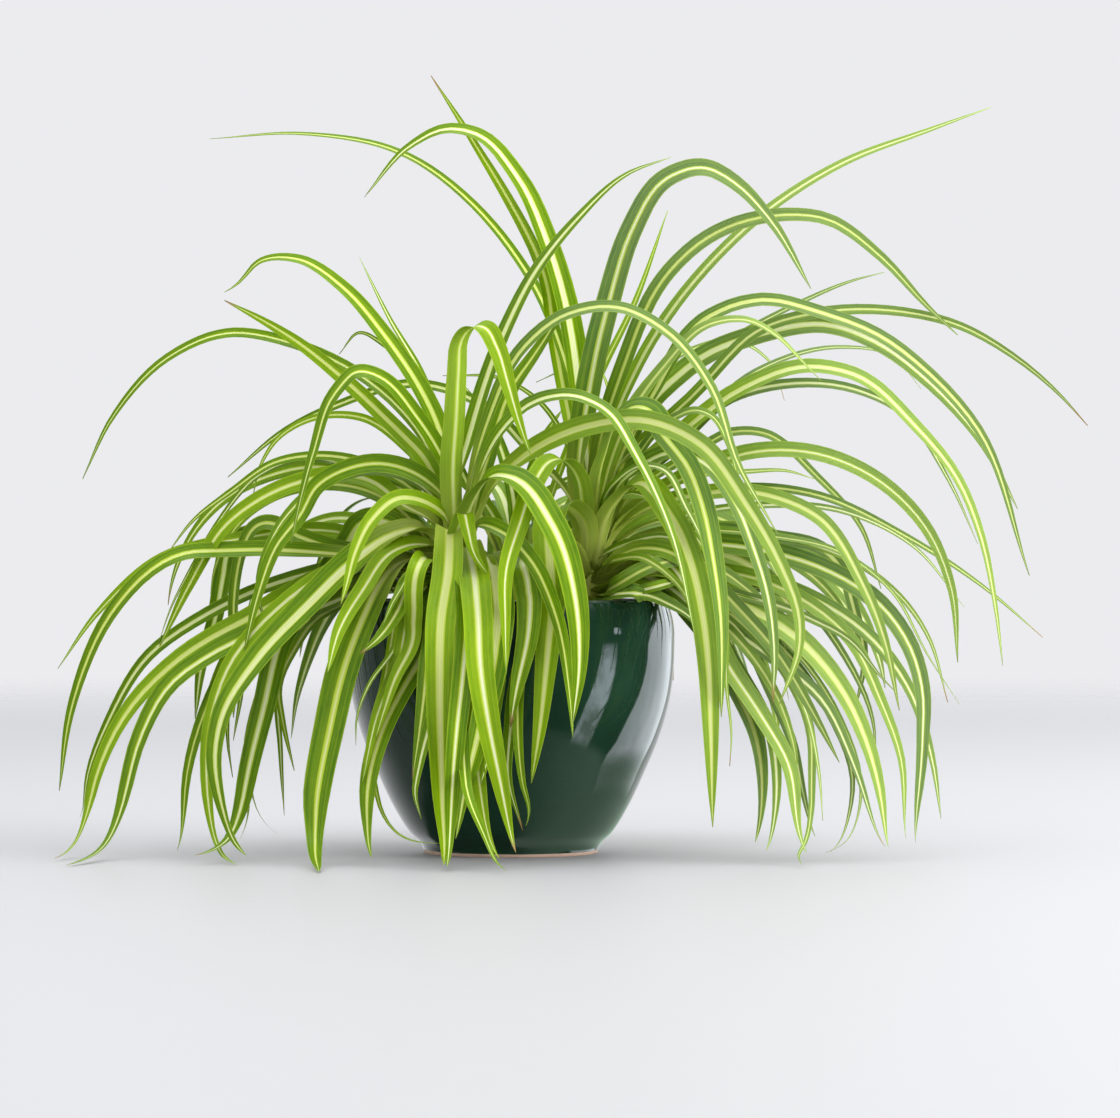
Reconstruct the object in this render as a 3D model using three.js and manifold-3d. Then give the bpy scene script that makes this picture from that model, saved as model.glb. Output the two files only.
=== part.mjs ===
// A spider plant of three crowns in a round glazed pot.
//
// Millimetres, +Z up. The pot's axis is the Z axis and its foot stands on z = 0.
// The plant is seen from -Y, with +X to the right.
//
// Each leaf that shows from the front is drawn by hand as a few points of its front
// elevation, as seen by an eye at EYE, and is given a depth at its tip. The leaves on
// the hidden side grow by a rule. All leaves are then eased apart, off the pot and off
// the surface that the pot stands on.

import * as THREE from 'three';
import { mergeVertices } from 'three/addons/utils/BufferGeometryUtils.js';
import Module from 'manifold-3d';

const wasm = await Module();
wasm.setup();

// ---- driving dimensions ----

const POT = {
  height: 152,
  radius: 98,
  footRadius: 52,
  rimWidth: 14,
  floor: 8,
  sides: 32,
};

const SOIL = {
  height: 134,
  gap: 0.3,
  crust: 14,
};

const STEM = {
  radius: 15,
  bottom: 112,
  shoulder: 152,
  sides: 12,
};

// Where each crown stands, and how high its stem reaches.
const CROWNS = {
  left: { x: -35, y: -25, top: 190 },
  right: { x: 46, y: -5, top: 182 },
  back: { x: 4, y: 38, top: 178 },
};

const LEAF = {
  thickness: 0.7,
  stations: [5, 10],
  spacing: 46,
  tipWidth: 1.3,
  roll: 60,
  rollJitter: 12,
  rollTurn: 2.4,
  leanShare: 0.8,
  rootRadius: 8,
  rootHeight: 148,
  rootRise: 26,
  rootWidth: 0.4,
  rootReach: 0.3,
  pathPoints: 48,
  evenShare: 0.6,
};

const EYE = { x: 29.4, z: 176, distance: 2800 };

// Leaves that reach the surface lie along it. Those that come down nearer the viewer than
// "front" lie towards the viewer, fanned out a little from a line that far behind.
const SURFACE = {
  clearance: 0.9,
  bend: 22,
  front: 20,
  fan: 0.08,
  behind: 60,
};

// A leaf is led outside the pot from a height above the rim on, over a fall, and not
// before it has run some way from its root.
const OVER_RIM = {
  above: 18,
  fall: 16,
  run: 18,
  spare: 1,
};

const EASING = {
  passes: 160,
  rimPasses: 8,
  renewPairs: 10,
  nearRoom: 8,
  ownMargin: 0.3,
  otherMargin: 3,
  potMargin: 2.5,
  rimMargin: 2.6,
  rimBand: 25,
  stemMargin: 1,
  step: 0.7,
  ownShare: 0.35,
  otherShare: 0.5,
  longest: 6,
  rootSkip: 0.3,
};

// ---- leaves drawn from the front: width, depth of the tip, quickness of the depth, x and z ----

const LEFT_LEAVES = [
  [13, -10, 1, [-40, 233, -57, 279, -77, 311, -100, 338, -129, 356, -150, 355, -165, 340, -172, 336]],
  [6.5, -5, 1, [-40, 240, -54, 287, -73, 320, -91, 357]],
  [10.5, 5, 1, [-50, 235, -79, 268, -114, 297, -147, 318, -172, 331]],
  [8.5, 25, 1, [-50, 240, -85, 280, -129, 305, -168, 312, -207, 296, -239, 261, -257, 224]],
  [11.5, -75, 1, [-40, 222, -60, 262, -81, 286, -90, 289, -105, 276, -118, 241, -125, 216, -132, 185]],
  [6, 25, 1, [-45, 222, -63, 243, -87, 260, -120, 260, -140, 248, -151, 230, -155, 212]],
  [10.5, -60, 1, [-33, 215, -25, 249, -3, 314, 14, 347, 40, 380, 70, 407, 96, 417]],
  [10.5, -110, 1, [-25, 215, -13, 260, 8, 303, 30, 321, 63, 327, 95, 311, 120, 279, 136, 233, 160, 191]],
  [15, -150, 1,
    [-36, 232, -34, 259, -32, 290, -30, 307, -24, 315, -16, 315, -9, 304, -2, 282, 5, 258, 12, 238]],
  [12.5, 15, 1, [-20, 215, -10, 250, 0, 278, 14, 300, 25, 318, 34, 337]],
  [11.5, -150, 1, [-22, 215, -6, 252, 14, 270, 36, 274, 56, 266, 75, 238, 96, 192, 110, 131]],
  [11.5, -130, 1,
    [-8, 222, 15, 242, 50, 256, 82, 258, 115, 243, 140, 210, 161, 174, 173, 141, 173, 123, 161, 89]],
  [17, -135, 2.5, [-25, 204, -9, 224, 2, 223, 24, 197, 38, 154, 41, 113, 37, 77]],
  [11.5, -125, 2.5, [-20, 190, -8, 185, 10, 167, 27, 134, 35, 92, 37, 69]],
  [11.5, -100, 2, [-31, 196, -28, 204, -26, 195, -22, 178, -12, 163]],
  [6.5, 15, 1, [-45, 205, -75, 229, -114, 238, -141, 234, -168, 216, -190, 199, -207, 177]],
  [5, 35, 1, [-48, 205, -85, 224, -125, 235, -154, 225, -177, 199, -191, 175, -204, 148, -211, 125]],
  [10.5, -20, 1,
    [-44, 196, -62, 208, -80, 222, -100, 226, -124, 222, -150, 211, -171, 196, -193, 163, -212, 127]],
  [10.5, -60, 1,
    [-43, 213, -60, 228, -80, 233, -100, 229, -116, 219, -125, 202, -139, 183, -149, 156, -158, 118]],
  [9, -45, 1, [-43, 206, -62, 224, -92, 228, -108, 220, -121, 204, -134, 174, -142, 154, -153, 112]],
  [11.5, -100, 1, [-40, 203, -52, 211, -66, 213, -83, 200, -93, 181, -99, 159, -102, 149]],
  [13, 60, 1,
    [-44, 176, -80, 186, -120, 193, -155, 193, -168, 186, -174, 164, -178, 142, -186, 115, -190, 80]],
  [10.5, 25, 1,
    [-42, 180, -80, 189, -121, 201, -140, 207, -150, 203, -160, 185, -167, 148, -162, 100, -167, 67]],
  [8.5, 40, 1, [-44, 172, -90, 184, -129, 190, -166, 186, -209, 175, -247, 144, -272, 110]],
  [10.5, -20, 1, [-44, 168, -100, 184, -150, 186, -186, 178, -220, 154, -247, 122, -263, 87, -271, 37]],
  [8, 70, 1, [-44, 166, -90, 174, -130, 166, -181, 144, -220, 115, -241, 80, -254, 46, -257, 20]],
  [11.5, -35, 1,
    [-44, 160, -80, 168, -110, 160, -155, 140, -199, 117, -228, 88, -245, 56, -254, 23, -256, -45]],
  [14.5, -70, 1,
    [-44, 158, -85, 158, -130, 143, -176, 122, -204, 101, -222, 70, -232, 32, -240, -5, -249, -73]],
  [8, -50, 1, [-70, 168, -115, 155, -150, 136, -171, 113, -187, 79, -196, 38, -196, 9, -195, -13]],
  [9, -90, 1, [-60, 175, -100, 170, -140, 145, -169, 111, -180, 74, -181, 46, -177, 12, -157, -51]],
  [17, -115, 1,
    [-50, 193, -70, 189, -91, 175, -120, 148, -152, 115, -173, 82, -177, 63, -172, 23, -157, -16]],
  [14.5, 0, 1, [-60, 190, -98, 184, -115, 172, -130, 152, -150, 136, -164, 119]],
  [11.5, -110, 1, [-45, 182, -60, 184, -71, 180, -89, 157, -103, 133, -110, 108]],
  [18, -130, 1.5,
    [-45, 172, -53, 175, -62, 174, -77, 159, -90, 135, -100, 109, -109, 72, -116, 35, -109, -74]],
  [13, 45, 1, [-50, 164, -78, 163, -101, 155, -120, 134, -130, 101, -132, 68]],
  [6.5, -20, 1, [-50, 165, -90, 158, -112, 146, -127, 125, -138, 98, -136, 79, -130, 49]],
  [13, -85, 1, [-50, 178, -100, 165, -136, 126, -148, 89, -159, 52, -166, 20, -174, -12, -182, -49]],
  [6.5, -50, 1, [-50, 170, -110, 150, -145, 115, -156, 85, -160, 55, -157, 25, -161, 5]],
  [4, 10, 1, [-80, 163, -106, 152, -138, 112, -153, 60, -155, 37, -150, 16, -139, 6]],
  [5, 20, 1, [-90, 165, -140, 130, -168, 95, -170, 68, -167, 45]],
  [6, 0, 1, [-80, 163, -104, 154, -122, 134, -140, 98, -139, 63, -136, 22]],
  [4, -100, 2, [-42, 166, -56, 148, -68, 110, -84, 60, -82, 42, -75, 19, -62, 4, -43, 1]],
  [8, -95, 2, [-42, 166, -53, 160, -66, 146, -74, 131]],
  [11.5, -105, 2, [-40, 166, -50, 157, -62, 137, -75, 124, -88, 116]],
  [10.5, -110, 2, [-40, 166, -48, 154, -58, 125, -71, 107, -79, 85, -84, 68]],
  [6.5, -112, 2, [-42, 166, -56, 150, -70, 120, -83, 103, -92, 80, -93, 64]],
  [13, -120, 2, [-38, 168, -43, 155, -51, 122, -63, 101, -76, 76, -86, 38, -86, 12, -82, -18]],
  [9, -108, 2, [-42, 166, -53, 150, -66, 110, -79, 85, -88, 40]],
  [11.5, -120, 2.5, [-38, 170, -40, 145, -50, 106, -56, 65, -59, 44]],
  [9, -135, 2.5, [-34, 170, -38, 120, -46, 90, -56, 49, -58, 36, -54, 20]],
  [15.5, -140, 3, [-34, 195, -33, 163, -36, 134, -37, 101, -39, 58, -40, 14, -39, -28]],
  [11.5, -150, 3, [-28, 180, -25, 140, -28, 105, -31, 79, -34, 46, -36, 14, -37, -35]],
  [8, -130, 3, [-30, 160, -30, 130, -33, 104, -34, 90, -35, 70]],
  [15.5, -150, 3, [-28, 185, -24, 168, -20, 139, -18, 106, -13, 74, -6, 40, 3, -6]],
  [17, -140, 3, [-20, 175, -10, 146, -14, 123, -20, 96, -25, 63, -29, 38, -32, 5]],
  [10.5, -130, 3, [-18, 165, -8, 125, -8, 103, -10, 85, -13, 55, -17, 40]],
  [11.5, -145, 3, [-22, 170, -18, 110, -19, 63, -16, 35, -13, 14, -7, -15]],
  [8, -160, 3, [-25, 165, -28, 110, -28, 60, -25, 29, -16, 10, -10, -16, -2, -49]],
];

const RIGHT_LEAVES = [
  [16, -120, 2.5, [30, 180, 12, 170, 4, 139, -1, 117, -5, 90, -6, 74]],
  [16, -130, 2, [40, 200, 30, 205, 22, 192, 19.5, 171, 17, 139, 15.5, 107, 14, 74, 11, 42]],
  [10.5, -128, 2.5, [36, 185, 20, 178, 8.5, 137, 2, 106, -1, 75, -2, 46, 7, 13]],
  [8, -135, 2.5, [30, 180, 14, 150, 6, 100, 5, 68, 8, 38, 12, 22, 9, 16]],
  [11.5, -125, 2, [43, 205, 38, 228, 30, 236, 21, 235, 12, 223, 3, 197, -5, 168, -6, 134, -6, 102]],
  [8, 65, 1, [45, 215, 33, 290, 10, 350, -20, 387, -67, 420, -125, 431, -181, 428]],
  [17, 25, 1, [46, 216, 42, 266, 33, 318, 20, 364, 2, 406, -19, 430, -38, 434, -60, 424, -88, 393]],
  [9, 50, 1, [44, 215, 34, 285, 18, 342, -9, 401, -28, 435, -48, 466]],
  [16.5, -15, 1, [46, 216, 51, 276, 59, 329, 72, 372, 93, 404, 115, 411, 135, 401, 155, 380, 180, 338]],
  [11.5, 0, 1, [52, 225, 68, 290, 94, 347, 120, 370, 158, 382, 189, 380, 221, 358, 250, 327, 268, 310]],
  [8.5, 65, 1, [52, 225, 75, 290, 113, 346, 150, 382, 200, 414, 250, 433, 288, 447]],
  [7.5, 70, 1, [40, 205, 12, 240, -15, 267, -57, 281, -105, 268, -136, 253, -170, 225]],
  [4, 60, 1, [48, 205, 40, 232, 14, 273, -5, 284, -41, 286]],
  [3.5, 80, 1, [56, 230, 60, 270, 50, 292, 34, 290, 15, 282]],
  [16, -120, 1.5, [58, 240, 70, 268, 80, 268, 91, 251, 105, 233, 115, 207, 121, 177, 125, 148, 126, 81]],
  [7, -90, 1.5, [60, 220, 78, 232, 90, 230, 104, 207, 114, 186, 119, 160, 121, 140]],
  [14, -135, 1.5, [58, 205, 75, 222, 98, 198, 109, 173, 116, 141, 119, 112, 120, 79, 121, 15]],
  [10.5, -105, 1, [70, 225, 100, 240, 119, 231, 132, 214, 146, 181, 154, 154, 158, 117, 157, 90]],
  [7, -60, 1, [75, 235, 98, 260, 112, 265, 120, 262, 130, 245, 136, 225, 140, 212]],
  [3.5, -95, 1, [70, 215, 110, 190, 129, 130, 129, 98, 132, 68, 131, 51]],
  [10.5, -25, 1, [60, 215, 90, 275, 120, 320, 147, 331, 188, 323, 221, 310, 250, 288, 278, 257, 311, 166]],
  [13.5, 20, 1,
    [60, 218, 82, 264, 103, 285, 125, 302, 150, 312, 188, 317, 221, 305, 250, 283, 280, 250, 304, 206]],
  [10.5, -70, 1, [55, 215, 66, 250, 91, 290, 120, 317, 142, 319, 159, 310, 175, 294, 186, 283]],
  [6, 60, 1, [58, 215, 76, 258, 100, 286, 138, 311, 172, 329, 205, 343, 224, 348]],
  [7.5, 5, 1, [60, 220, 110, 275, 150, 313, 188, 324, 231, 325, 270, 316, 300, 299, 330, 274, 346, 256]],
  [11, -45, 1,
    [62, 215, 100, 250, 141, 279, 175, 291, 207, 286, 242, 256, 267, 225, 281, 192, 290, 150, 295, 112]],
  [8, -10, 1, [62, 205, 100, 245, 130, 271, 167, 281, 205, 278, 233, 265, 262, 224, 280, 185]],
  [6.5, 45, 1, [65, 205, 110, 240, 132, 252, 150, 252, 184, 225, 210, 195, 222, 158]],
  [10.5, -30, 1, [65, 198, 105, 228, 147, 241, 188, 238, 222, 222, 250, 193, 264, 159, 268, 114]],
  [5, 35, 1, [65, 192, 110, 214, 146, 219, 181, 215, 236, 190, 285, 158, 319, 129]],
  [6, 5, 1, [64, 185, 110, 203, 150, 208, 197, 205, 242, 183, 272, 147]],
  [9, -75, 1, [62, 190, 110, 212, 156, 213, 183, 202, 211, 161, 224, 128, 233, 85]],
  [11.5, -80, 1, [62, 172, 110, 184, 160, 179, 194, 167, 221, 149, 239, 124, 247, 96, 247, 70, 241, 2]],
  [5, -35, 1, [64, 178, 110, 192, 157, 189, 197, 180, 227, 158, 250, 118, 269, 89]],
  [4.5, -20, 1, [64, 176, 120, 190, 180, 183, 211, 171, 234, 153, 250, 130, 262, 90]],
  [9, -10, 1, [64, 180, 110, 192, 156, 189, 188, 181, 198, 170, 205, 148, 212, 117, 207, 87]],
  [10.5, -60, 1, [60, 163, 100, 168, 133, 164, 169, 157, 210, 134, 237, 101, 252, 58, 258, 20]],
  [9, -85, 1, [60, 160, 100, 166, 140, 163, 170, 152, 203, 127, 222, 90, 233, 60, 236, 6]],
  [6, -60, 1, [60, 158, 120, 158, 173, 146, 201, 115, 217, 79, 219, 57]],
  [6, -90, 1, [60, 156, 130, 150, 180, 137, 203, 126, 221, 106, 230, 97]],
  [14.5, -110, 1, [58, 157, 100, 160, 140, 146, 175, 123, 200, 93, 215, 60, 223, 25, 225, -2]],
  [10.5, -95, 1, [58, 162, 98, 158, 130, 139, 160, 116, 184, 93, 204, 53, 218, 12, 223, -3]],
  [9, -115, 1, [58, 162, 98, 159, 134, 138, 163, 112, 184, 79, 197, 54]],
  [12.5, -130, 1, [57, 163, 90, 160, 112, 143, 131, 115, 153, 84, 167, 58, 172, 15, 176, -9]],
  [14, -110, 1, [57, 162, 86, 161, 108, 144, 131, 106, 146, 70, 150, 44, 149, 18, 146, 3]],
  [8, -120, 1, [56, 162, 90, 160, 118, 140, 140, 109, 156, 79, 160, 46, 158, 20, 152, -8]],
  [7, -100, 1, [60, 158, 110, 148, 150, 110, 167, 74, 171, 55, 170, 41]],
  [7, -90, 1, [60, 160, 120, 148, 163, 100, 176, 70, 180, 35, 182, 8]],
  [7, -120, 1, [60, 162, 125, 145, 165, 105, 179, 71, 180, 46, 178, 9, 171, -13, 170, -42]],
  [4, -105, 1, [60, 162, 98, 159, 132, 134, 175, 80, 184, 45, 187, 19]],
  [4.5, -60, 1, [58, 164, 102, 160, 145, 138, 190, 85, 205, 43, 202, 18, 188, -18]],
  [4.5, -40, 1, [60, 160, 145, 142, 195, 85, 210, 34, 205, 10, 184, -25]],
  [7, -20, 1, [51, 196, 60, 206, 70, 209, 80, 210, 95, 203, 110, 190]],
  [7, 10, 1, [51, 181, 68, 188, 91, 190, 115, 182, 125, 170]],
  [6, -40, 1, [51, 172, 70, 184, 84, 184, 98, 174, 108, 160]],
  [7, -90, 1.5, [52, 163, 71, 168, 87, 164, 102, 153, 112, 133]],
  [15, -95, 1.5, [55, 158, 64, 159, 84, 151, 102, 144, 106, 137, 105, 125, 101, 104]],
  [9, -50, 1, [60, 156, 100, 162, 133, 156, 154, 144, 163, 130]],
  [7, 20, 1, [60, 165, 100, 172, 133, 167, 150, 163, 165, 152]],
];

const BACK_LEAVES = [
  [5.5, 95, 1, [-30, 225, -55, 270, -79, 305, -91, 312, -103, 299]],
  [5.5, 80, 1, [10, 205, 39, 226, 76, 233, 100, 230]],
  [5.5, 100, 1, [30, 230, 55, 290, 73, 327, 94, 385]],
  [6.5, 110, 1, [60, 210, 110, 255, 147, 288, 198, 303, 230, 297, 246, 278]],
  [5.5, 120, 1, [50, 235, 105, 300, 135, 307, 157, 292, 164, 271]],
  [5.5, 90, 1, [60, 200, 105, 222, 143, 228, 165, 229, 182, 224]],
  [10, 70, 1, [2, 200, -3, 232, -13, 258, -30, 282]],
  [10, 60, 1, [8, 200, 14, 230, 22, 252, 31, 266]],
  [9, 75, 1, [-6, 195, -20, 215, -38, 228, -58, 226]],
];

// ---- leaves of the hidden side: how many, their compass range, reach and rise ----

const HIDDEN = {
  left: { count: 10, from: 95, to: 168 },
  right: { count: 10, from: 12, to: 85 },
  back: { count: 22, from: 10, to: 170 },
  width: [8, 15],
  length: [170, 310],
  launch: [20, 80],
  droop: [70, 88],
  bend: 1.1,
  seed: 69,
};

// ---- vectors and random draws ----

const add = (a, b, k = 1) => [a[0] + k * b[0], a[1] + k * b[1], a[2] + k * b[2]];
const dot = (a, b) => a[0] * b[0] + a[1] * b[1] + a[2] * b[2];
const cross = (a, b) => [
  a[1] * b[2] - a[2] * b[1],
  a[2] * b[0] - a[0] * b[2],
  a[0] * b[1] - a[1] * b[0],
];
const size = (a) => Math.sqrt(dot(a, a));
const unit = (a) => add([0, 0, 0], a, 1 / Math.max(size(a), 1e-9));
const mix = (a, b, t) => a + (b - a) * t;
const clamp = (v, low, high) => Math.min(Math.max(v, low), high);
const smooth = (t) => clamp(t, 0, 1) ** 2 * (3 - 2 * clamp(t, 0, 1));

/** Even draws between 0 and 1 from a seed (a 32-bit linear congruential rule). */
function draws(seed) {
  let state = seed;
  return () => {
    state = (Math.imul(state, 1664525) + 1013904223) >>> 0;
    return state / 4294967296;
  };
}

// ---- paths ----

/** Points along a smooth curve through the given points, evenly spaced in chord length. */
function smoothPath(points, count) {
  const last = points.length - 1;
  const knots = [0];
  for (let i = 1; i <= last; i += 1) {
    knots.push(knots[i - 1] + size(add(points[i], points[i - 1], -1)));
  }
  const chord = (i) => {
    const gap = knots[i + 1] - knots[i];
    return add([0, 0, 0], add(points[i + 1], points[i], -1), 1 / gap);
  };
  const slopes = points.map((_, i) => {
    if (i === 0) return chord(0);
    if (i === last) return chord(last - 1);
    const before = knots[i] - knots[i - 1];
    const after = knots[i + 1] - knots[i];
    const sum = before + after;
    return add(add([0, 0, 0], chord(i - 1), after / sum), chord(i), before / sum);
  });
  const path = [];
  let span = 0;
  for (let n = 0; n < count; n += 1) {
    const t = (knots[last] * n) / (count - 1);
    while (span < last - 1 && t > knots[span + 1]) span += 1;
    const gap = knots[span + 1] - knots[span];
    const u = (t - knots[span]) / gap;
    let p = add([0, 0, 0], points[span], 2 * u ** 3 - 3 * u ** 2 + 1);
    p = add(p, slopes[span], gap * (u ** 3 - 2 * u ** 2 + u));
    p = add(p, points[span + 1], 3 * u ** 2 - 2 * u ** 3);
    p = add(p, slopes[span + 1], gap * (u ** 3 - u ** 2));
    path.push(p);
  }
  return path;
}

/** The running length of a path at each of its points. */
function runningLength(path) {
  const run = [0];
  for (let i = 1; i < path.length; i += 1) {
    run.push(run[i - 1] + size(add(path[i], path[i - 1], -1)));
  }
  return run;
}

/** Picks stations along a fine path, closer together where it bends. */
function pickStations(path) {
  const run = runningLength(path);
  const total = run[run.length - 1];
  const count = clamp(Math.round(total / LEAF.spacing) + 2, ...LEAF.stations);
  const turn = [0, 0];
  for (let i = 2; i < path.length; i += 1) {
    const before = unit(add(path[i - 1], path[i - 2], -1));
    const after = unit(add(path[i], path[i - 1], -1));
    turn.push(turn[i - 1] + Math.acos(clamp(dot(before, after), -1, 1)));
  }
  const turned = Math.max(turn[turn.length - 1], 1e-6);
  const measure = run.map((r, i) => mix(turn[i] / turned, r / total, LEAF.evenShare));
  const picked = [];
  let span = 0;
  for (let n = 0; n < count; n += 1) {
    const t = (measure[measure.length - 1] * n) / (count - 1);
    while (span < path.length - 2 && t > measure[span + 1]) span += 1;
    const u = (t - measure[span]) / Math.max(measure[span + 1] - measure[span], 1e-9);
    picked.push(add(path[span], add(path[span + 1], path[span], -1), clamp(u, 0, 1)));
  }
  return picked;
}

/** Lets the stretch of a path that would sink below the surface lie along it, outward. In
 * front of the pot it lies mostly towards the viewer. */
function layOnSurface(path) {
  const limit = SURFACE.clearance + SURFACE.bend;
  const rest = (z) => {
    if (z >= limit) return z;
    return SURFACE.clearance + SURFACE.bend * Math.exp((z - limit) / SURFACE.bend);
  };
  const touch = path.find((p) => p[2] < limit);
  if (!touch) return path;
  const inFront = touch[1] < SURFACE.front;
  const fanned = [SURFACE.fan * touch[0], touch[1] - SURFACE.behind, 0];
  const outward = unit(inFront ? fanned : [touch[0], touch[1], 0]);
  const laid = [path[0]];
  for (let i = 1; i < path.length; i += 1) {
    const step = add(path[i], path[i - 1], -1);
    const rise = rest(path[i][2]) - rest(path[i - 1][2]);
    const level = Math.hypot(step[0], step[1]);
    const spare = Math.sqrt(Math.max(dot(step, step) - rise * rise, 0)) - level;
    const moved = add(laid[i - 1], [step[0], step[1], rise]);
    laid.push(add(moved, outward, Math.max(spare, 0)));
  }
  return laid;
}

// ---- leaves ----

/** The depth at which a leaf that has come down to the rim hangs outside the pot. */
function pastRim(x, y, z, run) {
  const wall = potRadius(z) + EASING.potMargin + OVER_RIM.spare;
  if (Math.abs(x) > wall) return y;
  const outside = Math.sqrt(wall * wall - x * x) * (y < SURFACE.front ? -1 : 1);
  const lowered = smooth((POT.height + OVER_RIM.above - z) / OVER_RIM.fall);
  const due = lowered * smooth(run / OVER_RIM.run);
  const short = outside < 0 ? Math.max(y - outside, 0) : Math.min(y - outside, 0);
  return y - due * short;
}

/** One leaf from its row of the front elevation. */
function drawnLeaf(crown, [width, tipDepth, quickness, elevation]) {
  const base = CROWNS[crown];
  const firstX = elevation[0];
  const firstZ = elevation[1];
  const [tipX] = elevation.slice(-2);
  const depthOut = tipDepth - base.y;
  const widthOut = tipX - base.x;
  const out = Math.hypot(depthOut, widthOut);
  const lean = (LEAF.rootRadius * widthOut) / out;
  const fore = (LEAF.rootRadius * depthOut) / out;
  const aside = Math.abs(firstX - base.x) + LEAF.rootRadius;
  const climb = Math.atan2(firstZ - LEAF.rootHeight - 2, aside) / (Math.PI / 2);
  const flat = [[base.x + lean, 0, LEAF.rootHeight + LEAF.rootRise * clamp(climb, 0, 1)]];
  for (let i = 0; i < elevation.length; i += 2) {
    flat.push([elevation[i], 0, elevation[i + 1]]);
  }
  const drawn = smoothPath(flat, LEAF.pathPoints);
  const run = runningLength(drawn);
  const total = run[run.length - 1];
  const path = drawn.map(([x, , z], i) => {
    const gained = 1 - (1 - run[i] / total) ** quickness;
    const y = pastRim(x, mix(base.y + fore, tipDepth, gained), z, run[i]);
    const scale = (EYE.distance + y) / EYE.distance;
    return [EYE.x + (x - EYE.x) * scale, y, EYE.z + (z - EYE.z) * scale];
  });
  return { crown, width, stations: pickStations(layOnSurface(path)) };
}

/** Leaves of one crown's hidden side, spread by the golden angle over its compass range. */
function hiddenLeaves(crown, draw) {
  const base = CROWNS[crown];
  const { count, from, to } = HIDDEN[crown];
  const golden = (Math.sqrt(5) - 1) / 2;
  const leaves = [];
  for (let n = 0; n < count; n += 1) {
    const compass = THREE.MathUtils.degToRad(mix(from, to, (0.5 + n * golden) % 1));
    const width = mix(...HIDDEN.width, draw());
    const length = mix(...HIDDEN.length, draw());
    const launch = THREE.MathUtils.degToRad(mix(...HIDDEN.launch, draw()));
    const droop = THREE.MathUtils.degToRad(mix(...HIDDEN.droop, draw()));
    const path = [[base.x, base.y, LEAF.rootHeight + 2]];
    const steps = LEAF.pathPoints - 1;
    for (let i = 1; i <= steps; i += 1) {
      const rise = mix(launch, -droop, ((i - 0.5) / steps) ** HIDDEN.bend);
      const level = Math.cos(rise);
      const step = [level * Math.cos(compass), level * Math.sin(compass), Math.sin(rise)];
      path.push(add(path[i - 1], step, length / steps));
    }
    leaves.push({ crown, width, stations: pickStations(layOnSurface(path)) });
  }
  return leaves;
}

/** The blade's width at a fraction of its length: narrow root, long taper to the tip. */
function bladeWidth(width, s) {
  const root = mix(LEAF.rootWidth, 1, smooth(s / LEAF.rootReach));
  const taper = (1 - s ** 4) ** 0.8;
  return Math.max(width * root * taper, LEAF.tipWidth);
}

/** How far a blade that climbs so steeply turns about its midrib to show its face in front. */
function bladeRoll(compass, climb, index) {
  const aside = Math.cos(compass);
  const share = smooth((Math.abs(aside) - 0.3) / 0.5);
  const lean = Math.atan(Math.tan(compass) * climb);
  const flat = THREE.MathUtils.degToRad(LEAF.roll) * Math.sign(aside) - LEAF.leanShare * lean;
  const jitter = THREE.MathUtils.degToRad(LEAF.rollJitter) * Math.sin(LEAF.rollTurn * index);
  return share * flat + jitter;
}

/** Each leaf's tangents, width directions and face normals at its stations. */
function frameLeaf(leaf, index) {
  const { stations } = leaf;
  const last = stations.length - 1;
  const reach = add(stations[last], stations[0], -1);
  const compass = Math.atan2(reach[1], reach[0]);
  const across = [-Math.sin(compass), Math.cos(compass), 0];
  const run = runningLength(stations);
  leaf.fractions = run.map((r) => r / run[last]);
  leaf.tangents = stations.map((_, i) => {
    return unit(add(stations[Math.min(i + 1, last)], stations[Math.max(i - 1, 0)], -1));
  });
  leaf.widths = [];
  leaf.sides = [];
  leaf.normals = [];
  stations.forEach((p, i) => {
    const tangent = leaf.tangents[i];
    const side = unit(add(across, tangent, -dot(across, tangent)));
    const normal = cross(tangent, side);
    const roll = bladeRoll(compass, tangent[2], index);
    const turned = roll * smooth(p[2] / 40) * smooth(leaf.fractions[i] / LEAF.rootReach);
    const cos = Math.cos(turned);
    const sin = Math.sin(turned);
    leaf.sides.push(add(add([0, 0, 0], side, cos), normal, sin));
    leaf.normals.push(add(add([0, 0, 0], normal, cos), side, -sin));
    leaf.widths.push(bladeWidth(leaf.width, leaf.fractions[i]));
  });
}

// ---- easing the leaves apart ----

/** Outer radius of the pot at a height. */
function potRadius(z) {
  const table = POT_OUTSIDE;
  if (z <= table[0][1]) return table[0][0];
  for (let i = 1; i < table.length; i += 1) {
    if (z <= table[i][1]) {
      const u = (z - table[i - 1][1]) / (table[i][1] - table[i - 1][1]);
      return mix(table[i - 1][0], table[i][0], u);
    }
  }
  return table[table.length - 1][0];
}

/** The flat boxes that stand for a leaf's stretches between stations. */
function leafBoxes(leaves) {
  const boxes = [];
  leaves.forEach((leaf, index) => {
    for (let i = 0; i + 1 < leaf.stations.length; i += 1) {
      const to = leaf.stations[i + 1];
      const whole = add(to, leaf.stations[i], -1);
      const from = i > 0 ? leaf.stations[i] : add(leaf.stations[0], whole, EASING.rootSkip);
      const span = add(to, from, -1);
      const along = unit(span);
      const raw = add(leaf.sides[i], leaf.sides[i + 1]);
      const side = unit(add(raw, along, -dot(raw, along)));
      boxes.push({
        leaf: index,
        at: i,
        crown: leaf.crown,
        middle: add(from, span, 0.5),
        axes: [along, side, cross(along, side)],
        half: [size(span) / 2, (leaf.widths[i] + leaf.widths[i + 1]) / 4, LEAF.thickness / 2],
      });
    }
  });
  return boxes;
}

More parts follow.
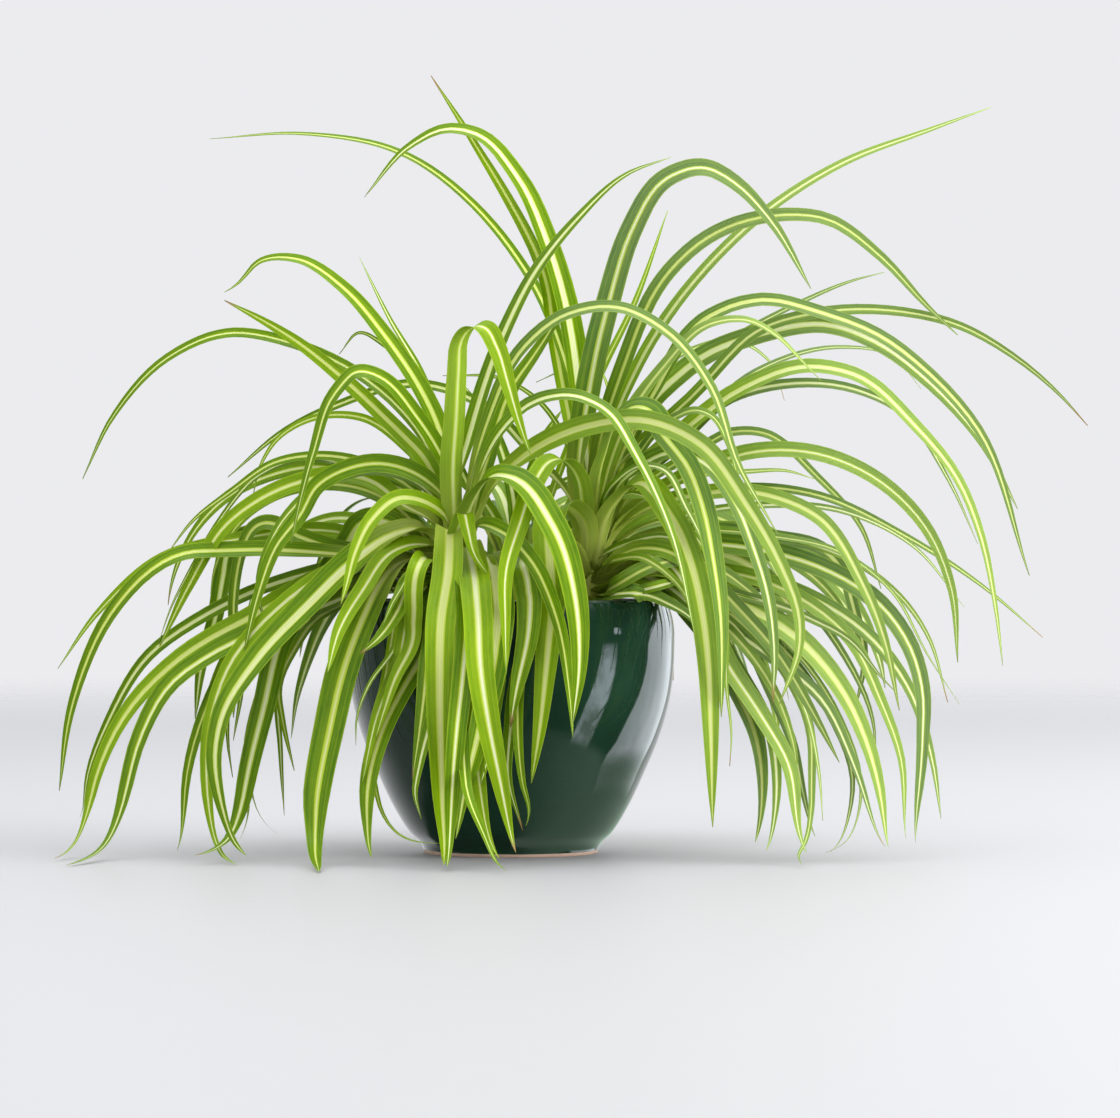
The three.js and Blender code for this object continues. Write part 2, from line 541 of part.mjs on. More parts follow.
/** How deep two boxes overlap, with the axis of the least overlap, or null. */
function overlap(a, b, margin) {
  const gap = add(b.middle, a.middle, -1);
  let depth = Infinity;
  let way = null;
  for (const axis of [...a.axes, ...b.axes]) {
    let room = margin - Math.abs(dot(gap, axis));
    for (let k = 0; k < 3; k += 1) {
      room += a.half[k] * Math.abs(dot(a.axes[k], axis));
      room += b.half[k] * Math.abs(dot(b.axes[k], axis));
    }
    if (room <= 0) return null;
    if (room < depth) {
      depth = room;
      way = dot(gap, axis) < 0 ? add([0, 0, 0], axis, -1) : axis;
    }
  }
  return { depth, way, gap };
}

/** Pairs of boxes of different leaves that lie near enough to matter. */
function nearPairs(boxes) {
  const pairs = [];
  for (let i = 0; i < boxes.length; i += 1) {
    for (let j = i + 1; j < boxes.length; j += 1) {
      const a = boxes[i];
      const b = boxes[j];
      if (a.leaf === b.leaf) continue;
      const near = a.half[0] + b.half[0] + a.half[1] + b.half[1] + EASING.nearRoom;
      const gap = add(b.middle, a.middle, -1);
      if (dot(gap, gap) < near * near) pairs.push([i, j]);
    }
  }
  return pairs;
}

/** Shares a push at a place along a stretch between the stretch's two stations. */
function share(pushes, box, way, depth, place) {
  const u = clamp(place / box.half[0], -1, 1);
  const first = (1 - u) / 2;
  const second = (1 + u) / 2;
  const norm = first * first + second * second;
  const row = pushes[box.leaf];
  row[box.at] = add(row[box.at], way, (depth * first) / norm);
  row[box.at + 1] = add(row[box.at + 1], way, (depth * second) / norm);
}

/** Eases all leaves apart, off the pot, off other crowns' stems and off the surface. */
function easeApart(leaves) {
  let pairs = [];
  for (let pass = 0; pass < EASING.passes; pass += 1) {
    leaves.forEach(frameLeaf);
    const boxes = leafBoxes(leaves);
    if (pass % EASING.renewPairs === 0) pairs = nearPairs(boxes);
    const pushes = leaves.map((leaf) => leaf.stations.map(() => [0, 0, 0]));
    for (const [i, j] of pairs) {
      const a = boxes[i];
      const b = boxes[j];
      const own = a.crown === b.crown;
      const hit = overlap(a, b, own ? EASING.ownMargin : EASING.otherMargin);
      if (!hit) continue;
      const depth = hit.depth * EASING.step * (own ? EASING.ownShare : EASING.otherShare);
      share(pushes, a, hit.way, -depth, dot(hit.gap, a.axes[0]));
      share(pushes, b, hit.way, depth, -dot(hit.gap, b.axes[0]));
    }
    leaves.forEach((leaf, index) => {
      const row = pushes[index];
      const eased = row.map((_, i) => {
        const before = row[Math.max(i - 1, 0)];
        const after = row[Math.min(i + 1, row.length - 1)];
        return add(add(add([0, 0, 0], row[i], 0.5), before, 0.25), after, 0.25);
      });
      leaf.stations = leaf.stations.map((p, i) => {
        const free = clamp(i * 0.7, 0, 1);
        const held = EASING.longest / Math.max(size(eased[i]), EASING.longest);
        return keepClear(add(p, eased[i], free * held), leaf, i);
      });
      clearRim(leaf);
    });
  }
  for (let pass = 0; pass < EASING.rimPasses; pass += 1) {
    leaves.forEach(frameLeaf);
    leaves.forEach(clearRim);
  }
  leaves.forEach(frameLeaf);
}

/** Moves a station out of the pot's wall, other crowns' stems and the surface. */
function keepClear(point, leaf, i) {
  let p = point;
  if (i === 0) return p;
  const half = leaf.widths[i] / 2;
  const radius = Math.hypot(p[0], p[1]);
  const wall = potRadius(p[2]) + EASING.potMargin + half * 0.2;
  const inside = POT.radius - EASING.rimBand;
  const floor = SOIL.height + SOIL.crust;
  if (p[2] < POT.height && radius > inside && radius < wall) {
    p = [(p[0] * wall) / radius, (p[1] * wall) / radius, p[2]];
  }
  if (p[2] < POT.height && radius <= inside && p[2] < floor) {
    p = [p[0], p[1], mix(p[2], floor, 0.3)];
  }
  for (const [name, crown] of Object.entries(CROWNS)) {
    if (name === leaf.crown || p[2] > crown.top + 4) continue;
    const away = [p[0] - crown.x, p[1] - crown.y, 0];
    const room = STEM.radius + half + EASING.stemMargin;
    if (size(away) < room) p = add([crown.x, crown.y, p[2]], unit(away), room);
  }
  const edge = half * Math.abs(leaf.sides[i][2]);
  return [p[0], p[1], Math.max(p[2], SURFACE.clearance + edge)];
}

/** Moves the stretches that pass over the rim until both their edges clear it. */
function clearRim(leaf) {
  const { stations, sides, widths } = leaf;
  for (let i = 0; i + 1 < stations.length; i += 1) {
    for (let n = 0; n < 15; n += 1) {
      const u = 0.1 + 0.2 * Math.floor(n / 3);
      const edge = ((n % 3) - 1) * mix(widths[i], widths[i + 1], u) * 0.5;
      const span = add(stations[i + 1], stations[i], -1);
      const p = add(add(stations[i], span, u), sides[i], edge);
      const radius = Math.hypot(p[0], p[1]);
      const top = POT.height + EASING.rimMargin;
      const inner = POT.radius - POT.rimWidth;
      const outer = potRadius(p[2]) + EASING.rimMargin;
      if (p[2] >= top || radius < inner || radius > outer) continue;
      const up = top - p[2];
      const out = outer - radius;
      const way = up < out ? [0, 0, up] : [(p[0] / radius) * out, (p[1] / radius) * out, 0];
      const first = i > 0 ? 1 - u : 0;
      const norm = first * first + u * u;
      stations[i] = add(stations[i], way, first / norm);
      stations[i + 1] = add(stations[i + 1], way, Math.min(u / norm, 2));
    }
  }
}

// ---- solids ----

/** A closed flat blade through a leaf's stations, four edges around. */
function bladeSolid(leaf) {
  const positions = [];
  const index = [];
  const rings = leaf.stations.length;
  for (let i = 0; i < rings; i += 1) {
    for (const [u, v] of [[1, 1], [-1, 1], [-1, -1], [1, -1]]) {
      const edge = add(leaf.stations[i], leaf.sides[i], (u * leaf.widths[i]) / 2);
      positions.push(...add(edge, leaf.normals[i], (v * LEAF.thickness) / 2));
    }
  }
  for (let i = 0; i + 1 < rings; i += 1) {
    const a = i * 4;
    const b = a + 4;
    index.push(a, a + 1, b + 1, a, b + 1, b);
    index.push(a + 1, a + 2, b + 2, a + 1, b + 2, b + 1);
    index.push(a + 2, a + 3, b + 2, a + 3, b + 3, b + 2);
    index.push(a + 3, a, b, a + 3, b, b + 3);
  }
  const end = (rings - 1) * 4;
  index.push(0, 3, 2, 0, 2, 1);
  index.push(end, end + 1, end + 2, end, end + 2, end + 3);
  return new wasm.Manifold(new wasm.Mesh({
    numProp: 3,
    vertProperties: new Float32Array(positions),
    triVerts: new Uint32Array(index),
  }));
}

/** A solid turned about the Z axis from a profile of radii and heights. */
function turned(profile, sides, x = 0, y = 0) {
  const points = profile.map(([r, z]) => new THREE.Vector2(r, z));
  const geometry = new THREE.LatheGeometry(points, sides);
  geometry.rotateX(Math.PI / 2);
  geometry.translate(x, y, 0);
  geometry.deleteAttribute('normal');
  geometry.deleteAttribute('uv');
  const merged = mergeVertices(geometry, 1e-3);
  const kept = [];
  const corners = merged.index.array;
  for (let i = 0; i < corners.length; i += 3) {
    const [a, b, c] = [corners[i], corners[i + 1], corners[i + 2]];
    if (a !== b && b !== c && a !== c) kept.push(a, b, c);
  }
  return new wasm.Manifold(new wasm.Mesh({
    numProp: 3,
    vertProperties: new Float32Array(merged.attributes.position.array),
    triVerts: new Uint32Array(kept),
  }));
}

/** The outermost closed shell of a solid, as a geometry. */
function outerShell(solid) {
  const parts = solid.decompose();
  const extent = (part) => {
    const box = part.boundingBox();
    return box.max[0] - box.min[0] + box.max[1] - box.min[1] + box.max[2] - box.min[2];
  };
  const widest = parts.reduce((best, part) => (extent(part) > extent(best) ? part : best));
  const mesh = widest.getMesh();
  const geometry = new THREE.BufferGeometry();
  geometry.setAttribute('position', new THREE.BufferAttribute(mesh.vertProperties, 3));
  geometry.setIndex(new THREE.BufferAttribute(mesh.triVerts, 1));
  geometry.computeVertexNormals();
  return geometry;
}

// The pot's outside and inside, as radius and height from the foot to the rim.
const POT_OUTSIDE = [
  [POT.footRadius, 0], [53, 4], [60.5, 12], [70.5, 28], [80, 48], [88.5, 68],
  [95.5, 93], [POT.radius, 120], [97.5, 138], [95, 148],
];
const POT_RIM = [[93, 151.3], [90.5, POT.height], [88.7, 150.2], [88.5, 147]];
const POT_INSIDE = [
  [91.5, 138], [92.3, 120], [87, 80], [76.5, 53], [60, 25], [42, 9.5], [34, POT.floor],
];

function buildPot() {
  const profile = [[0, 0], ...POT_OUTSIDE, ...POT_RIM, ...POT_INSIDE, [0, POT.floor]];
  return turned(profile, POT.sides);
}

function buildSoil() {
  const wall = POT_INSIDE.filter(([, z]) => z < SOIL.height - 5);
  const sides = wall.map(([r, z]) => [r - SOIL.gap * 1.6, z + SOIL.gap]).reverse();
  const top = SOIL.height;
  const crust = [[91, top - 3], [88, top - 1], [60, top], [0, top + 2]];
  const profile = [[0, POT.floor + SOIL.gap], ...sides, ...crust];
  let soil = turned(profile, POT.sides);
  for (const crown of Object.values(CROWNS)) {
    const hole = STEM.radius + SOIL.gap;
    const bottom = STEM.bottom - SOIL.gap;
    const plug = [[0, bottom], [hole, bottom], [hole, STEM.shoulder], [0, STEM.shoulder]];
    soil = soil.subtract(turned(plug, 2 * STEM.sides, crown.x, crown.y));
  }
  return soil;
}

function buildCrown(name, leaves) {
  const { x, y, top } = CROWNS[name];
  const profile = [
    [0, STEM.bottom], [STEM.radius, STEM.bottom], [STEM.radius, STEM.shoulder],
    [STEM.radius * 0.85, STEM.shoulder + 16], [STEM.radius * 0.55, top - 8], [0, top],
  ];
  let crown = turned(profile, STEM.sides, x, y);
  for (const leaf of leaves.filter((one) => one.crown === name)) {
    crown = crown.add(bladeSolid(leaf));
  }
  return crown;
}

// ---- the plant ----

const draw = draws(HIDDEN.seed);
const leaves = [
  ...LEFT_LEAVES.map((row) => drawnLeaf('left', row)),
  ...RIGHT_LEAVES.map((row) => drawnLeaf('right', row)),
  ...BACK_LEAVES.map((row) => drawnLeaf('back', row)),
  ...['left', 'right', 'back'].flatMap((crown) => hiddenLeaves(crown, draw)),
];
easeApart(leaves);

const glaze = new THREE.MeshStandardMaterial({ color: 0x1e3c2d, roughness: 0.18 });
const mould = new THREE.MeshStandardMaterial({ color: 0x3a2c20, roughness: 0.95 });
const foliage = new THREE.MeshStandardMaterial({ color: 0x6f9a1c, roughness: 0.5 });

const plant = new THREE.Group();
plant.name = 'potted_spider_plant';

function place(name, solid, material) {
  const mesh = new THREE.Mesh(outerShell(solid), material.clone());
  mesh.name = name;
  plant.add(mesh);
}

place('pot', buildPot(), glaze);
place('soil', buildSoil(), mould);
for (const name of Object.keys(CROWNS)) {
  place(`crown_${name}`, buildCrown(name, leaves), foliage);
}

export default plant;
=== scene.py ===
"""Looks of a spider plant of three crowns in a round glazed pot.

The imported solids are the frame: +Z up, the pot's foot on z = 0, the plant seen from -Y.
Sizes are written in millimetres and put into the meshes in metres. Each crown, the soil and
the pot replace their solids with finer surfaces of the same form.
"""

import logging
import math
from dataclasses import dataclass, field
from enum import Enum

import bpy
import numpy as np
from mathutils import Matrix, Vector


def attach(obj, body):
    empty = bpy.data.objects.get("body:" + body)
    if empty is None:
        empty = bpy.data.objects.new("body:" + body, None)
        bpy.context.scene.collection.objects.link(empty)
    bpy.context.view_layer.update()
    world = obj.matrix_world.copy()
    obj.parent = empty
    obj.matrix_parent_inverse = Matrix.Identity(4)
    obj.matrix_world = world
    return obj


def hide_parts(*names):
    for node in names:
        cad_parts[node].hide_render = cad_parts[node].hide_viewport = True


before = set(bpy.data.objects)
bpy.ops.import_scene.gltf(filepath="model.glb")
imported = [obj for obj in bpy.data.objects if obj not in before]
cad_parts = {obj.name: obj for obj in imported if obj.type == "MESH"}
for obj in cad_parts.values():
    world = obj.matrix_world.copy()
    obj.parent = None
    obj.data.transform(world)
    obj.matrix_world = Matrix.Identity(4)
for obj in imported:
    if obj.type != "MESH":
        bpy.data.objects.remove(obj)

LOG = logging.getLogger("spider_plant")
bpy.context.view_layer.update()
MM = 0.001

Array = np.ndarray
Socket = bpy.types.NodeSocket
Colour = tuple[float, float, float, float]
LeafRow = tuple[float, float, float, tuple[float, ...]]

# Each row is one leaf drawn from the front: its width, the depth of its tip, how quickly it
# gains that depth, and the x and z of its points in turn, as seen from the viewpoint.

LEFT_LEAVES: tuple[LeafRow, ...] = (
    (13, -10, 1, (-40, 233, -57, 279, -77, 311, -100, 338, -129, 356, -150, 355, -165, 340, -172, 336)),
    (6.5, -5, 1, (-40, 240, -54, 287, -73, 320, -91, 357)),
    (10.5, 5, 1, (-50, 235, -79, 268, -114, 297, -147, 318, -172, 331)),
    (8.5, 25, 1, (-50, 240, -85, 280, -129, 305, -168, 312, -207, 296, -239, 261, -257, 224)),
    (11.5, -75, 1, (-40, 222, -60, 262, -81, 286, -90, 289, -105, 276, -118, 241, -125, 216, -132, 185)),
    (6, 25, 1, (-45, 222, -63, 243, -87, 260, -120, 260, -140, 248, -151, 230, -155, 212)),
    (10.5, -60, 1, (-33, 215, -25, 249, -3, 314, 14, 347, 40, 380, 70, 407, 96, 417)),
    (10.5, -110, 1, (-25, 215, -13, 260, 8, 303, 30, 321, 63, 327, 95, 311, 120, 279, 136, 233, 160, 191)),
    (15, -150, 1,
        (-36, 232, -34, 259, -32, 290, -30, 307, -24, 315, -16, 315, -9, 304, -2, 282, 5, 258, 12, 238)),
    (12.5, 15, 1, (-20, 215, -10, 250, 0, 278, 14, 300, 25, 318, 34, 337)),
    (11.5, -150, 1, (-22, 215, -6, 252, 14, 270, 36, 274, 56, 266, 75, 238, 96, 192, 110, 131)),
    (11.5, -130, 1,
        (-8, 222, 15, 242, 50, 256, 82, 258, 115, 243, 140, 210, 161, 174, 173, 141, 173, 123, 161, 89)),
    (17, -135, 2.5, (-25, 204, -9, 224, 2, 223, 24, 197, 38, 154, 41, 113, 37, 77)),
    (11.5, -125, 2.5, (-20, 190, -8, 185, 10, 167, 27, 134, 35, 92, 37, 69)),
    (11.5, -100, 2, (-31, 196, -28, 204, -26, 195, -22, 178, -12, 163)),
    (6.5, 15, 1, (-45, 205, -75, 229, -114, 238, -141, 234, -168, 216, -190, 199, -207, 177)),
    (5, 35, 1, (-48, 205, -85, 224, -125, 235, -154, 225, -177, 199, -191, 175, -204, 148, -211, 125)),
    (10.5, -20, 1,
        (-44, 196, -62, 208, -80, 222, -100, 226, -124, 222, -150, 211, -171, 196, -193, 163, -212, 127)),
    (10.5, -60, 1,
        (-43, 213, -60, 228, -80, 233, -100, 229, -116, 219, -125, 202, -139, 183, -149, 156, -158, 118)),
    (9, -45, 1, (-43, 206, -62, 224, -92, 228, -108, 220, -121, 204, -134, 174, -142, 154, -153, 112)),
    (11.5, -100, 1, (-40, 203, -52, 211, -66, 213, -83, 200, -93, 181, -99, 159, -102, 149)),
    (13, 60, 1,
        (-44, 176, -80, 186, -120, 193, -155, 193, -168, 186, -174, 164, -178, 142, -186, 115, -190, 80)),
    (10.5, 25, 1,
        (-42, 180, -80, 189, -121, 201, -140, 207, -150, 203, -160, 185, -167, 148, -162, 100, -167, 67)),
    (8.5, 40, 1, (-44, 172, -90, 184, -129, 190, -166, 186, -209, 175, -247, 144, -272, 110)),
    (10.5, -20, 1, (-44, 168, -100, 184, -150, 186, -186, 178, -220, 154, -247, 122, -263, 87, -271, 37)),
    (8, 70, 1, (-44, 166, -90, 174, -130, 166, -181, 144, -220, 115, -241, 80, -254, 46, -257, 20)),
    (11.5, -35, 1,
        (-44, 160, -80, 168, -110, 160, -155, 140, -199, 117, -228, 88, -245, 56, -254, 23, -256, -45)),
    (14.5, -70, 1,
        (-44, 158, -85, 158, -130, 143, -176, 122, -204, 101, -222, 70, -232, 32, -240, -5, -249, -73)),
    (8, -50, 1, (-70, 168, -115, 155, -150, 136, -171, 113, -187, 79, -196, 38, -196, 9, -195, -13)),
    (9, -90, 1, (-60, 175, -100, 170, -140, 145, -169, 111, -180, 74, -181, 46, -177, 12, -157, -51)),
    (17, -115, 1,
        (-50, 193, -70, 189, -91, 175, -120, 148, -152, 115, -173, 82, -177, 63, -172, 23, -157, -16)),
    (14.5, 0, 1, (-60, 190, -98, 184, -115, 172, -130, 152, -150, 136, -164, 119)),
    (11.5, -110, 1, (-45, 182, -60, 184, -71, 180, -89, 157, -103, 133, -110, 108)),
    (18, -130, 1.5,
        (-45, 172, -53, 175, -62, 174, -77, 159, -90, 135, -100, 109, -109, 72, -116, 35, -109, -74)),
    (13, 45, 1, (-50, 164, -78, 163, -101, 155, -120, 134, -130, 101, -132, 68)),
    (6.5, -20, 1, (-50, 165, -90, 158, -112, 146, -127, 125, -138, 98, -136, 79, -130, 49)),
    (13, -85, 1, (-50, 178, -100, 165, -136, 126, -148, 89, -159, 52, -166, 20, -174, -12, -182, -49)),
    (6.5, -50, 1, (-50, 170, -110, 150, -145, 115, -156, 85, -160, 55, -157, 25, -161, 5)),
    (4, 10, 1, (-80, 163, -106, 152, -138, 112, -153, 60, -155, 37, -150, 16, -139, 6)),
    (5, 20, 1, (-90, 165, -140, 130, -168, 95, -170, 68, -167, 45)),
    (6, 0, 1, (-80, 163, -104, 154, -122, 134, -140, 98, -139, 63, -136, 22)),
    (4, -100, 2, (-42, 166, -56, 148, -68, 110, -84, 60, -82, 42, -75, 19, -62, 4, -43, 1)),
    (8, -95, 2, (-42, 166, -53, 160, -66, 146, -74, 131)),
    (11.5, -105, 2, (-40, 166, -50, 157, -62, 137, -75, 124, -88, 116)),
    (10.5, -110, 2, (-40, 166, -48, 154, -58, 125, -71, 107, -79, 85, -84, 68)),
    (6.5, -112, 2, (-42, 166, -56, 150, -70, 120, -83, 103, -92, 80, -93, 64)),
    (13, -120, 2, (-38, 168, -43, 155, -51, 122, -63, 101, -76, 76, -86, 38, -86, 12, -82, -18)),
    (9, -108, 2, (-42, 166, -53, 150, -66, 110, -79, 85, -88, 40)),
    (11.5, -120, 2.5, (-38, 170, -40, 145, -50, 106, -56, 65, -59, 44)),
    (9, -135, 2.5, (-34, 170, -38, 120, -46, 90, -56, 49, -58, 36, -54, 20)),
    (15.5, -140, 3, (-34, 195, -33, 163, -36, 134, -37, 101, -39, 58, -40, 14, -39, -28)),
    (11.5, -150, 3, (-28, 180, -25, 140, -28, 105, -31, 79, -34, 46, -36, 14, -37, -35)),
    (8, -130, 3, (-30, 160, -30, 130, -33, 104, -34, 90, -35, 70)),
    (15.5, -150, 3, (-28, 185, -24, 168, -20, 139, -18, 106, -13, 74, -6, 40, 3, -6)),
    (17, -140, 3, (-20, 175, -10, 146, -14, 123, -20, 96, -25, 63, -29, 38, -32, 5)),
    (10.5, -130, 3, (-18, 165, -8, 125, -8, 103, -10, 85, -13, 55, -17, 40)),
    (11.5, -145, 3, (-22, 170, -18, 110, -19, 63, -16, 35, -13, 14, -7, -15)),
    (8, -160, 3, (-25, 165, -28, 110, -28, 60, -25, 29, -16, 10, -10, -16, -2, -49)),
)

RIGHT_LEAVES: tuple[LeafRow, ...] = (
    (16, -120, 2.5, (30, 180, 12, 170, 4, 139, -1, 117, -5, 90, -6, 74)),
    (16, -130, 2, (40, 200, 30, 205, 22, 192, 19.5, 171, 17, 139, 15.5, 107, 14, 74, 11, 42)),
    (10.5, -128, 2.5, (36, 185, 20, 178, 8.5, 137, 2, 106, -1, 75, -2, 46, 7, 13)),
    (8, -135, 2.5, (30, 180, 14, 150, 6, 100, 5, 68, 8, 38, 12, 22, 9, 16)),
    (11.5, -125, 2, (43, 205, 38, 228, 30, 236, 21, 235, 12, 223, 3, 197, -5, 168, -6, 134, -6, 102)),
    (8, 65, 1, (45, 215, 33, 290, 10, 350, -20, 387, -67, 420, -125, 431, -181, 428)),
    (17, 25, 1, (46, 216, 42, 266, 33, 318, 20, 364, 2, 406, -19, 430, -38, 434, -60, 424, -88, 393)),
    (9, 50, 1, (44, 215, 34, 285, 18, 342, -9, 401, -28, 435, -48, 466)),
    (16.5, -15, 1, (46, 216, 51, 276, 59, 329, 72, 372, 93, 404, 115, 411, 135, 401, 155, 380, 180, 338)),
    (11.5, 0, 1, (52, 225, 68, 290, 94, 347, 120, 370, 158, 382, 189, 380, 221, 358, 250, 327, 268, 310)),
    (8.5, 65, 1, (52, 225, 75, 290, 113, 346, 150, 382, 200, 414, 250, 433, 288, 447)),
    (7.5, 70, 1, (40, 205, 12, 240, -15, 267, -57, 281, -105, 268, -136, 253, -170, 225)),
    (4, 60, 1, (48, 205, 40, 232, 14, 273, -5, 284, -41, 286)),
    (3.5, 80, 1, (56, 230, 60, 270, 50, 292, 34, 290, 15, 282)),
    (16, -120, 1.5, (58, 240, 70, 268, 80, 268, 91, 251, 105, 233, 115, 207, 121, 177, 125, 148, 126, 81)),
    (7, -90, 1.5, (60, 220, 78, 232, 90, 230, 104, 207, 114, 186, 119, 160, 121, 140)),
    (14, -135, 1.5, (58, 205, 75, 222, 98, 198, 109, 173, 116, 141, 119, 112, 120, 79, 121, 15)),
    (10.5, -105, 1, (70, 225, 100, 240, 119, 231, 132, 214, 146, 181, 154, 154, 158, 117, 157, 90)),
    (7, -60, 1, (75, 235, 98, 260, 112, 265, 120, 262, 130, 245, 136, 225, 140, 212)),
    (3.5, -95, 1, (70, 215, 110, 190, 129, 130, 129, 98, 132, 68, 131, 51)),
    (10.5, -25, 1,
        (60, 215, 90, 275, 120, 320, 147, 331, 188, 323, 221, 310, 250, 288, 278, 257, 311, 166)),
    (13.5, 20, 1,
        (60, 218, 82, 264, 103, 285, 125, 302, 150, 312, 188, 317, 221, 305, 250, 283, 280, 250, 304, 206)),
    (10.5, -70, 1, (55, 215, 66, 250, 91, 290, 120, 317, 142, 319, 159, 310, 175, 294, 186, 283)),
    (6, 60, 1, (58, 215, 76, 258, 100, 286, 138, 311, 172, 329, 205, 343, 224, 348)),
    (7.5, 5, 1, (60, 220, 110, 275, 150, 313, 188, 324, 231, 325, 270, 316, 300, 299, 330, 274, 346, 256)),
    (11, -45, 1,
        (62, 215, 100, 250, 141, 279, 175, 291, 207, 286, 242, 256, 267, 225, 281, 192, 290, 150, 295, 112)),
    (8, -10, 1, (62, 205, 100, 245, 130, 271, 167, 281, 205, 278, 233, 265, 262, 224, 280, 185)),
    (6.5, 45, 1, (65, 205, 110, 240, 132, 252, 150, 252, 184, 225, 210, 195, 222, 158)),
    (10.5, -30, 1, (65, 198, 105, 228, 147, 241, 188, 238, 222, 222, 250, 193, 264, 159, 268, 114)),
    (5, 35, 1, (65, 192, 110, 214, 146, 219, 181, 215, 236, 190, 285, 158, 319, 129)),
    (6, 5, 1, (64, 185, 110, 203, 150, 208, 197, 205, 242, 183, 272, 147)),
    (9, -75, 1, (62, 190, 110, 212, 156, 213, 183, 202, 211, 161, 224, 128, 233, 85)),
    (11.5, -80, 1, (62, 172, 110, 184, 160, 179, 194, 167, 221, 149, 239, 124, 247, 96, 247, 70, 241, 2)),
    (5, -35, 1, (64, 178, 110, 192, 157, 189, 197, 180, 227, 158, 250, 118, 269, 89)),
    (4.5, -20, 1, (64, 176, 120, 190, 180, 183, 211, 171, 234, 153, 250, 130, 262, 90)),
    (9, -10, 1, (64, 180, 110, 192, 156, 189, 188, 181, 198, 170, 205, 148, 212, 117, 207, 87)),
    (10.5, -60, 1, (60, 163, 100, 168, 133, 164, 169, 157, 210, 134, 237, 101, 252, 58, 258, 20)),
    (9, -85, 1, (60, 160, 100, 166, 140, 163, 170, 152, 203, 127, 222, 90, 233, 60, 236, 6)),
    (6, -60, 1, (60, 158, 120, 158, 173, 146, 201, 115, 217, 79, 219, 57)),
    (6, -90, 1, (60, 156, 130, 150, 180, 137, 203, 126, 221, 106, 230, 97)),
    (14.5, -110, 1, (58, 157, 100, 160, 140, 146, 175, 123, 200, 93, 215, 60, 223, 25, 225, -2)),
    (10.5, -95, 1, (58, 162, 98, 158, 130, 139, 160, 116, 184, 93, 204, 53, 218, 12, 223, -3)),
    (9, -115, 1, (58, 162, 98, 159, 134, 138, 163, 112, 184, 79, 197, 54)),
    (12.5, -130, 1, (57, 163, 90, 160, 112, 143, 131, 115, 153, 84, 167, 58, 172, 15, 176, -9)),
    (14, -110, 1, (57, 162, 86, 161, 108, 144, 131, 106, 146, 70, 150, 44, 149, 18, 146, 3)),
    (8, -120, 1, (56, 162, 90, 160, 118, 140, 140, 109, 156, 79, 160, 46, 158, 20, 152, -8)),
    (7, -100, 1, (60, 158, 110, 148, 150, 110, 167, 74, 171, 55, 170, 41)),
    (7, -90, 1, (60, 160, 120, 148, 163, 100, 176, 70, 180, 35, 182, 8)),
    (7, -120, 1, (60, 162, 125, 145, 165, 105, 179, 71, 180, 46, 178, 9, 171, -13, 170, -42)),
    (4, -105, 1, (60, 162, 98, 159, 132, 134, 175, 80, 184, 45, 187, 19)),
    (4.5, -60, 1, (58, 164, 102, 160, 145, 138, 190, 85, 205, 43, 202, 18, 188, -18)),
    (4.5, -40, 1, (60, 160, 145, 142, 195, 85, 210, 34, 205, 10, 184, -25)),
    (7, -20, 1, (51, 196, 60, 206, 70, 209, 80, 210, 95, 203, 110, 190)),
    (7, 10, 1, (51, 181, 68, 188, 91, 190, 115, 182, 125, 170)),
    (6, -40, 1, (51, 172, 70, 184, 84, 184, 98, 174, 108, 160)),
    (7, -90, 1.5, (52, 163, 71, 168, 87, 164, 102, 153, 112, 133)),
    (15, -95, 1.5, (54, 152, 66, 155, 80, 154.5, 94, 149, 106, 142, 117, 130)),
    (9, -50, 1, (60, 156, 100, 162, 133, 156, 154, 144, 163, 130)),
    (7, 20, 1, (60, 165, 100, 172, 133, 167, 150, 163, 165, 152)),
)

BACK_LEAVES: tuple[LeafRow, ...] = (
    (5.5, 95, 1, (-30, 225, -55, 270, -79, 305, -91, 312, -103, 299)),
    (5.5, 80, 1, (10, 205, 39, 226, 76, 233, 100, 230)),
    (5.5, 100, 1, (30, 230, 55, 290, 73, 327, 94, 385)),
    (6.5, 110, 1, (60, 210, 110, 255, 147, 288, 198, 303, 230, 297, 246, 278)),
    (5.5, 120, 1, (50, 235, 105, 300, 135, 307, 157, 292, 164, 271)),
    (5.5, 90, 1, (60, 200, 105, 222, 143, 228, 165, 229, 182, 224)),
    (10, 70, 1, (2, 200, -3, 232, -13, 258, -30, 282)),
    (10, 60, 1, (8, 200, 14, 230, 22, 252, 31, 266)),
    (9, 75, 1, (-6, 195, -20, 215, -38, 228, -58, 226)),
)


# ---- sizes, in millimetres, and shares of a length ----


class CrownName(Enum):
    """The three crowns, named as their solids are."""

    LEFT = "crown_left"
    RIGHT = "crown_right"
    BACK = "crown_back"


DRAWN: dict[CrownName, tuple[LeafRow, ...]] = {
    CrownName.LEFT: LEFT_LEAVES,
    CrownName.RIGHT: RIGHT_LEAVES,
    CrownName.BACK: BACK_LEAVES,
}


@dataclass(frozen=True)
class Viewpoint:
    """The eye that the leaves are drawn from, level and looking along +Y."""

    x: float = 29.4
    z: float = 176.0
    distance: float = 2800.0
    lens: float = 150.0
    sensor: float = 36.0


